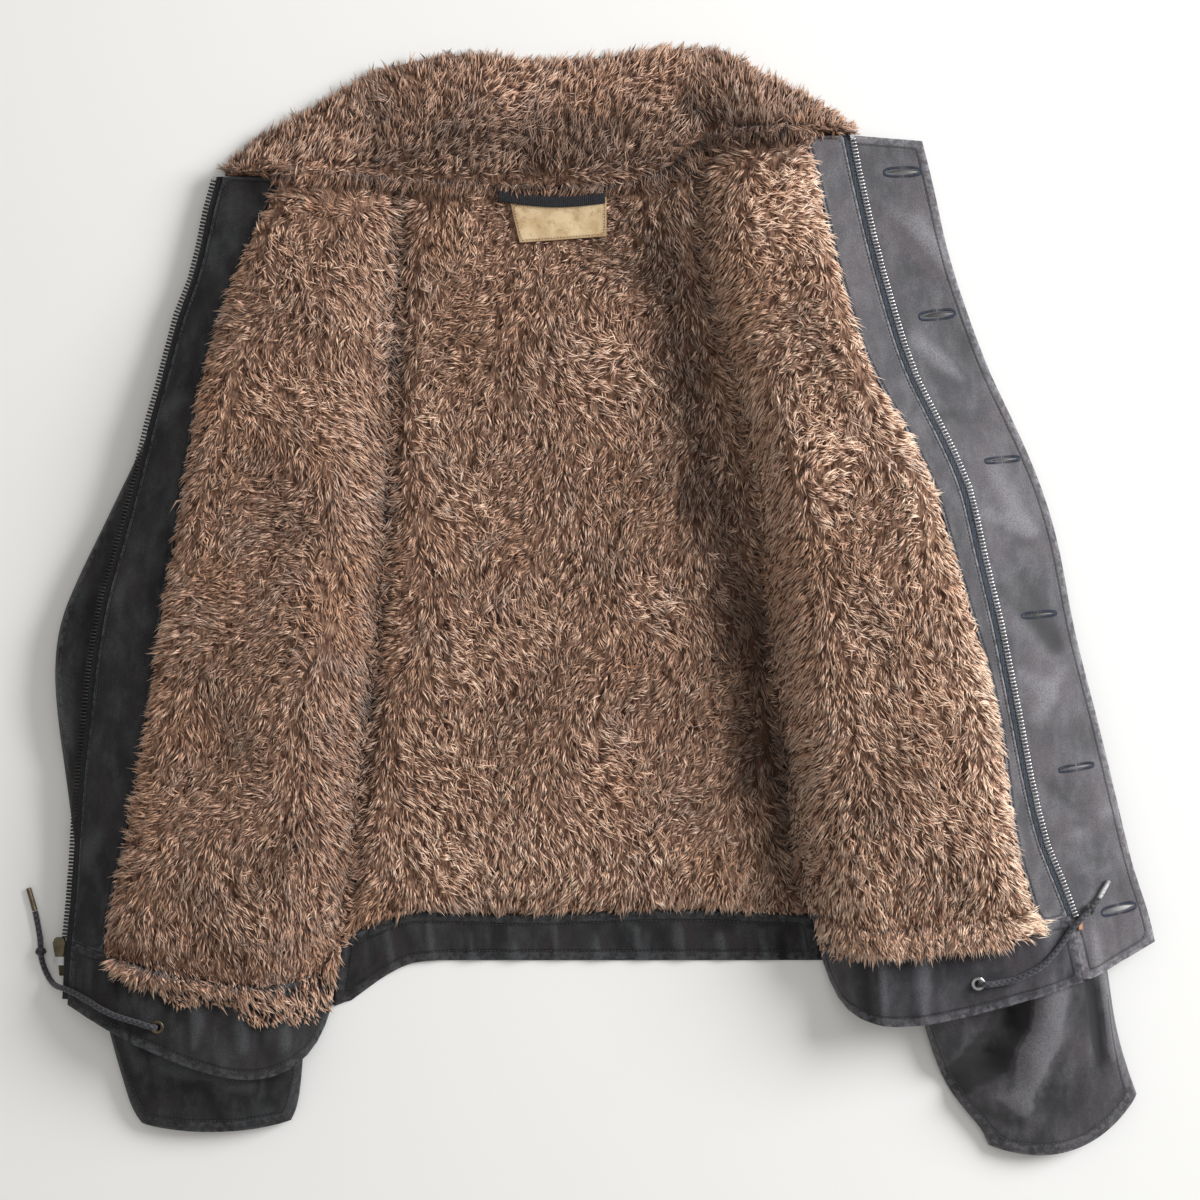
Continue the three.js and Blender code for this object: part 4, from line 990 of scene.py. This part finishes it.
def buildZip():
    for side, metal, tape in (("right", "dark zip metal", "neck tape"), ("left", "zip metal", "zip tape")):
        node = f"zip_tape_{side}"
        mesh = clothMesh(node, 2, 0.25)
        settle(mesh, rumple)
        finished(f"{node}_ribbed", mesh, tape, node)
        node = f"zip_teeth_{side}"
        path = evenly(centreline(node), zipper["pitch"] * mm)
        path[:, 2] += rumple(path)
        ahead = tangents(path)
        template = bmesh.new()
        bmesh.ops.create_cube(template, size=1)
        bmesh.ops.scale(template, verts=template.verts,
                        vec=(zipper["along"] * mm, zipper["wide"] * mm, zipper["high"] * mm))
        bmesh.ops.bevel(template, geom=template.edges[:], offset=0.3 * mm, segments=1, profile=0.5,
                        affect="EDGES", material=-1)
        up = np.tile([0.0, 0.0, 1.0], (len(path), 1))
        places = placed(template, path, ahead, unit(flattened(up, ahead)))
        finished(f"{node}_row", joined(f"{node}_row", template, places), metal, node)


# Solids that show as they are.
hardware = {
    "steel": ["zip_stop_right", "zip_stop_left", "zip_box", "eyelet_left", "aglet_left"],
    "dark brass": ["zip_slider", "zip_pull_tab", "eyelet_right", "aglet_right"],
    "copper": ["zip_pin"],
    "button": [f"button_{n}" for n in range(1, 7)],
}
buildZip()
for finish, nodes in hardware.items():
    for node in nodes:
        materials = frame["nodes"][node].data.materials
        materials.clear()
        materials.append(finishes[finish])
print("zip made")


# Label and hanger loop.

def buildNeckTrim():
    mesh = clothMesh("size_label", 3, 0.2)
    where = points(mesh)
    curl = np.clip((where[:, 0] - (layout.x + 2 * mm)) / (3 * mm), 0, 1) * 0.0006
    where[:, 2] += curl + ripple(where, 40, 1.3) * 0.0008 + 0.0004
    movePoints(mesh, where)
    label = finished("size_label_cloth", mesh, "label", "size_label")
    stitchRow("stitches_label", label, 1.6, "dark thread", size=labelStitch)
    finished("hanger_loop_tape", clothMesh("hanger_loop", 2, 0.5), "neck tape", "hanger_loop")


buildNeckTrim()
print("label and hanger loop made")


# Pile: a backing inside each pile solid, and locks of hair that reach its surface.

# tone makes a pile's locks paler or darker as a whole; the left front's, which faces the light, is paler as
# painted light.
piles = {
    "back_pile": {"locks": 39500, "comb": (0.05, -1.0), "tone": 0.12, "seed": 11,
                  "flat": (0.36, 0.61), "area": 0.167},
    "right_front_pile": {"locks": 24500, "comb": (-0.35, -0.95), "tone": 0.0, "seed": 12,
                         "flat": (0.24, 0.62), "area": 0.106},
    "left_front_pile": {"locks": 23500, "comb": (0.3, -0.95), "tone": 0.3, "seed": 13,
                        "flat": (0.25, 0.62), "area": 0.097},
    "collar_pile": {"locks": 14500, "comb": (0.0, 1.0), "tone": -0.35, "seed": 14,
                    "flat": (0.48, 0.11), "area": 0.041},
}
hair = {
    "long": 12.5, "longer": 2.4, "wide": 1.42, "sink": 0.5, "tuft": 5, "swirl": 1.1, "stray": 0.42,
    "lift": 0.4, "lifts": 0.16, "arch": 0.15, "proud": 1.5, "most": 32500,
}

# Where the fronts' pile hangs over the hem band: x, y of the pile's edge, y of the lowest roots.
overhangs = {
    "right_front_pile": {"over": "right_front_hem_band", "locks": 4500, "from": (-290, -190), "rows": [
        [-367, -266, -281], [-346, -272, -291], [-319, -277, -305], [-300, -280, -303], [-280, -283, -305],
        [-264, -284, -320], [-238, -282, -318], [-220, -276, -320], [-207, -270, -312], [-198, -266, -290]]},
    "left_front_pile": {"over": "left_front_hem_band", "locks": 3500, "from": (245, -160), "rows": [
        [166, -240, -262], [177, -248, -271], [192, -254, -271], [219, -255, -264], [252, -252, -259],
        [285, -248, -256], [309, -245, -247], [326, -242, -246]]},
}

# Painted shade on the pile beside the folds, at the neck and in darker patches: from x, y to x, y, half
# width, depth.
paintedShadeStrips = [
    [56, 292, 64, 180, 20, 0.62], [64, 180, 84, 85, 21, 0.7], [84, 85, 108, -15, 21, 0.72],
    [108, -15, 126, -120, 20, 0.72], [126, -120, 141, -212, 18, 0.66], [4, 276, 66, 236, 12, 0.5],
    [20, 298, 60, 262, 7, 0.5],
    [-152, 300, -158, 180, 9, 0.45], [-158, 180, -163, 70, 9, 0.45], [-163, 70, -174, -80, 9, 0.45],
    [-174, -80, -190, -215, 10, 0.45], [-170, 336, 70, 334, 15, 0.62], [-172, 364, 70, 368, 14, 0.3],
    [-120, 352, 20, 356, 9, 0.4],
    [72, 374, 132, 350, 15, 0.6], [150, 372, 176, 350, 10, 0.35], [-236, 372, -262, 352, 8, 0.3],
    [-252, 118, -226, 60, 12, 0.3], [-290, -60, -262, -110, 14, 0.3], [-224, -172, -262, -206, 13, 0.32],
    [-300, -226, -282, -266, 12, 0.3], [-40, -40, -70, -110, 12, 0.2], [176, 30, 214, -40, 12, 0.3],
    [226, -96, 204, -160, 14, 0.34], [252, -190, 280, -224, 11, 0.3], [150, 232, 182, 170, 11, 0.28],
    [-90, 200, -60, 150, 12, 0.22], [30, 90, 8, 30, 12, 0.2],
]

# Pile painted paler: painted light along the left front's outer edge, which faces the light, and paler also
# along the lower edges of the fronts and the back.
lights = [
    [162, 312, 205, 215, 16, 0.42], [205, 215, 253, 55, 16, 0.45], [253, 55, 286, -70, 16, 0.5],
    [286, -70, 320, -235, 18, 0.6], [190, -236, 310, -236, 16, 0.4], [-150, -190, 120, -205, 34, 0.3],
    [-290, -232, -215, -240, 14, 0.12],
]

# Locks along the seams between piles, and loose ones at an overhanging edge, in mm or as shares.
seams = {"reach": 9, "locks": 2100, "long": 1.3, "lift": 0.7, "thick": 11, "sink": 0.15}
fringe = {"above": 8, "edge": (-9, 5), "crowd": 0.55, "loose": 0.75, "deep": 12.5, "sink": 0.85,
          "splay": 0.25, "reach": 0.92}


# How much painted shade a point gets, broken up so that its edge isn't a clean one.
def paintedShadeAt(where):
    depth = troughs(paintedShadeStrips, where) / mm
    broken = 1 + 0.7 * np.array([noise.noise(Vector(place) * 70) for place in where])
    return np.clip(depth * broken, 0, 0.8)


def pileSurface(node):
    shape = welded(node)
    if "front" in node:
        where = np.array([vert.co for vert in shape.verts])
        for vert, rise in zip(shape.verts, rumple(where)):
            vert.co.z += rise
    shape.normal_update()
    tree = BVHTree.FromBMesh(shape)
    depth = {}
    for vert in shape.verts:
        start = vert.co - vert.normal * 0.1 * mm
        hit = tree.ray_cast(start, -vert.normal)
        depth[vert.index] = min(14 * mm, hit[3]) if hit[0] is not None else 4 * mm
    return shape, depth


def buildBacking(node, shape, depth):
    own = shape.copy()
    for vert in own.verts:
        if vert.normal.z > -0.25:
            vert.co -= vert.normal * depth[vert.index] * 0.34
    mesh = refined(own, 1, 0.7)
    # Painted shade from the strips of painted shade.
    mark(mesh, "hollow", paintedShadeAt(points(mesh)))
    return finished(node + "_backing", mesh, "pile backing", node)


def scatter(shape, depth, count, draw):
    own = shape.copy()
    bmesh.ops.triangulate(own, faces=own.faces)
    own.normal_update()
    own.verts.ensure_lookup_table()
    kept = [face for face in own.faces if face.normal.z > -0.15]
    area = np.array([face.calc_area() * (1.0 if face.normal.z > 0.2 else 0.8) for face in kept])
    chosen = draw.choice(len(kept), size=count, p=area / area.sum())
    tri = np.array([[vert.index for vert in face.verts] for face in kept])[chosen]
    co = np.array([vert.co for vert in own.verts])
    normal = np.array([vert.normal for vert in own.verts])
    thick = np.array([depth[n] for n in range(len(own.verts))])
    own.free()
    share = draw.random((count, 2))
    over = share.sum(axis=1) > 1
    share[over] = 1 - share[over]
    weight = np.stack([1 - share.sum(axis=1), share[:, 0], share[:, 1]], axis=1)
    where = np.einsum("ij,ijk->ik", weight, co[tri])
    normals = np.einsum("ij,ijk->ik", weight, normal[tri])
    normals[:, 2] = np.maximum(normals[:, 2], 0.05)
    return where, unit(normals), dot(weight, thick[tri])


# Where the other piles lie, as the way to their nearest point and how near that is, from 0 to 1.
def across(where, tree):
    ways = np.zeros((len(where), 2))
    near = np.zeros(len(where))
    reach = seams["reach"] * mm
    for n, place in enumerate(where):
        hit, _, _, off = tree.find_nearest(Vector(place), reach)
        if hit is not None:
            way = (hit - Vector(place)).xy
            ways[n] = way / max(way.length, 1e-6)
            near[n] = 1 - off / reach
    return ways, near


def portion(value, whole):
    return min(1, max(0, value / whole))


def hangOver(make, draw):
    tree = surfaceOf(cloth[make["over"]])
    rows = np.array(make["rows"], float)
    count = make["locks"]
    x = draw.uniform(rows[0, 0], rows[-1, 0], count)
    top = np.interp(x, rows[:, 0], rows[:, 1])
    foot = np.interp(x, rows[:, 0], rows[:, 2])
    y = foot + (top + fringe["above"] - foot) * draw.random(count)
    y = np.where(draw.random(count) < fringe["crowd"], top + draw.uniform(*fringe["edge"], count), y)
    loose = (y > top + fringe["edge"][0]) & (draw.random(count) < fringe["loose"])
    depths = draw.uniform(0.1, 0.8, count)
    leans = draw.uniform(0.1, 1.0, count)
    locks = []
    for placeX, placeY, high, low, own, down, lean in zip(x, y, top, foot, loose, depths, leans):
        hit, normal, _, _ = tree.ray_cast(spot(placeX, min(placeY, high - 3), 120), Vector((0, 0, -1)))
        if hit is not None and normal.z > 0.2:
            thick = (fringe["deep"] if own else 4.5 + 7 * portion(placeY - low, 15)) * mm
            upright = lean if own else 0.45 + 0.75 * portion(placeY - high + 5, 8)
            where = spot(placeX, placeY, hit.z / mm) + Vector((0, 0, thick))
            locks.append((where, thick, down if own else fringe["sink"], upright))
    where, thick, sink, upright = (np.array(row) for row in zip(*locks))
    away = unit(where[:, :2] - flatSpot(*make["from"]))
    normal = unit(np.concatenate([away * fringe["splay"], np.ones((len(where), 1))], axis=1))
    return where, normal, thick, away, sink, upright, np.full(len(where), fringe["reach"]), upright > 0.9


def growLocks(node, make, shape, depth, bare, others):
    draw = np.random.default_rng(make["seed"])
    where, normal, thick = scatter(shape, depth, make["locks"], draw)
    keep = np.ones(len(where), bool)
    for low, high in bare:
        inside = (where[:, :2] > np.array(low)[:2]) & (where[:, :2] < np.array(high)[:2])
        keep &= ~np.all(inside, axis=1)
    where, normal, thick = where[keep], normal[keep], thick[keep]
    ones = np.ones(len(where))
    comb = by(np.array([make["comb"]], float), ones)
    groups = [(where, normal, thick, comb, ones * hair["sink"], ones * hair["lift"], ones, ones < 0)]

    # Longer locks stand where two piles meet, and lean over the seam.
    where, normal, _ = scatter(shape, depth, make["locks"], draw)
    ways, near = across(where, others)
    chosen = np.flatnonzero(near > 0)[:seams["locks"]]
    ones = np.ones(len(chosen))
    groups.append((where[chosen], normal[chosen], ones * seams["thick"] * mm, ways[chosen],
                   ones * seams["sink"], ones * seams["lift"], ones * seams["long"], ones > 0))
    if node in overhangs:
        groups.append(hangOver(overhangs[node], draw))
    where, normal, thick, comb, sink, lift, reach, free = [np.concatenate(rows) for rows in zip(*groups)]
    count = len(where)
    root = where - by(normal, thick * sink)

    # Each tuft has its own way, lift, length and shade, which its locks share.
    tufts = draw.choice(count, size=count // hair["tuft"], replace=False)
    up = normal[tufts]
    turn = np.array([noise.noise(Vector((p[0] * 19 + make["seed"], p[1] * 13, 0.5))) for p in where[tufts]])
    turn = turn * 2 * hair["swirl"] + draw.normal(0, hair["stray"], len(tufts))
    ways = np.stack(turned(*comb[tufts].T, turn), axis=1)
    over, near = across(where[tufts], others)
    near *= draw.uniform(0.1, 1.1, len(tufts))
    ways = by(ways, 1 - near * 0.7) + by(over, 1.5 * near) + by(up[:, :2], 1.8 - near)
    rise = np.clip(lift[tufts] + draw.normal(0, hair["lifts"], len(tufts)) + near * 0.3, 0.15, 1.3)
    long = (hair["long"] + draw.normal(0, hair["longer"], len(tufts))) * mm
    long *= np.clip(np.where(free[tufts], 1, thick[tufts] / (11 * mm)), 0.55, 1)
    # A tuft's tone: its own random one, the pile's tone, and the painted light of the table of paler pile.
    shade = draw.random(len(tufts)) * 0.7 + 0.15 + make["tone"] + troughs(lights, where[tufts]) / mm
    way = unit(np.concatenate([ways, np.zeros((len(tufts), 1))], axis=1))
    lean = by(unit(flattened(way, up)), np.cos(rise)) + by(up, np.sin(rise))
    tree = KDTree(len(tufts))
    for n, place in enumerate(root[tufts]):
        tree.insert(place, n)
    tree.balance()
    mine = np.array([tree.find(place)[1] for place in root])

    size = long[mine] * reach * draw.uniform(0.7, 1.2, count)
    gather = draw.uniform(0.5, 1.15, count)
    centre = root[tufts][mine]
    tip = centre + by(lean[mine], size) + by(root - centre, gather) + draw.normal(0, 1.5 * mm, (count, 3))
    past = dot(tip - where, normal) - hair["proud"] * mm
    tip -= by(normal, np.maximum(0, past) * np.where(free, 0.4, 0.8))
    along = unit(tip - root)
    middle = root + (tip - root) * 0.5 + by(normal, size * hair["arch"])
    side = unit(np.cross(along, normal + draw.normal(0, 0.3, (count, 3))))
    up = np.cross(side, along)
    middle += by(side, size * draw.normal(0, 0.13, count))
    roll = draw.uniform(0, 2 * math.pi, count)
    right = by(side, np.cos(roll)) + by(up, np.sin(roll))
    top = np.cross(along, right)
    radius = hair["wide"] * mm / 2 * draw.uniform(0.6, 1.25, count) * np.where(free, 0.85, 1)

    template = bmesh.new()
    bmesh.ops.create_uvsphere(template, u_segments=3, v_segments=2, radius=1)
    co = corners(template)
    reached = (co[:, 2] + 1) / 2
    weights = [(1 - reached) ** 2, reached**2, 2 * reached * (1 - reached)]
    bend = sum(weight[None, :, None] * place[:, None] for weight, place in zip(weights, (root, tip, middle)))
    places = bend + radius[:, None, None] * (co[None, :, 0, None] * right[:, None]
                                             + co[None, :, 1, None] * top[:, None])
    places[:, :, 2] = np.maximum(places[:, :, 2], 0.15 * mm)
    colour = np.ones((count, len(co), 4), np.float32)
    colour[:, :, 0] = reached[None]
    colour[:, :, 1] = draw.random(count)[:, None]
    colour[:, :, 2] = shade[mine][:, None]
    # Each lock's painted shade from the strips of painted shade.
    hollow = np.repeat(paintedShadeAt(where)[:, None], len(co), axis=1)

    pieces = []
    order = np.argsort(-root[:, 1])
    parts = math.ceil(count / hair["most"])
    for n, chosen in enumerate(np.array_split(order, parts)):
        name = f"{node}_locks" + (f"_{n + 1}" if parts > 1 else "")
        mesh = joined(name, template, places[chosen])
        layer = mesh.attributes.new("lock", "FLOAT_COLOR", "POINT")
        layer.data.foreach_set("color", colour[chosen].ravel())
        mark(mesh, "hollow", hollow[chosen].ravel())
        pieces.append(finished(name, mesh, "pile locks"))
    return pieces


def buildPile():
    bare = []
    for node in ("size_label", "hanger_loop"):
        low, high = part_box(node)
        bare.append((low + Vector((2.5, 3, 0)) * mm, high - Vector((2.5, 1, 0)) * mm))
    surfaces = {node: pileSurface(node) for node in piles}
    for node, make in piles.items():
        shape, depth = surfaces[node]
        others = bmesh.new()
        for name in piles:
            if name != node:
                near = meshOf(surfaces[name][0].copy(), "near")
                others.from_mesh(near)
                bpy.data.meshes.remove(near)
        locks = growLocks(node, make, shape, depth, bare if node == "back_pile" else (),
                          BVHTree.FromBMesh(others))
        others.free()
        backing = buildBacking(node, shape, depth)
        print("pile", node, "locks", sum(len(piece.data.vertices) for piece in locks) // 5)
    for shape, _ in surfaces.values():
        shape.free()


buildPile()

triangles = 0
for piece in bpy.data.objects:
    if piece.type == "MESH" and not piece.hide_render:
        piece.data.calc_loop_triangles()
        triangles += len(piece.data.loop_triangles)
print("triangles shown:", triangles)
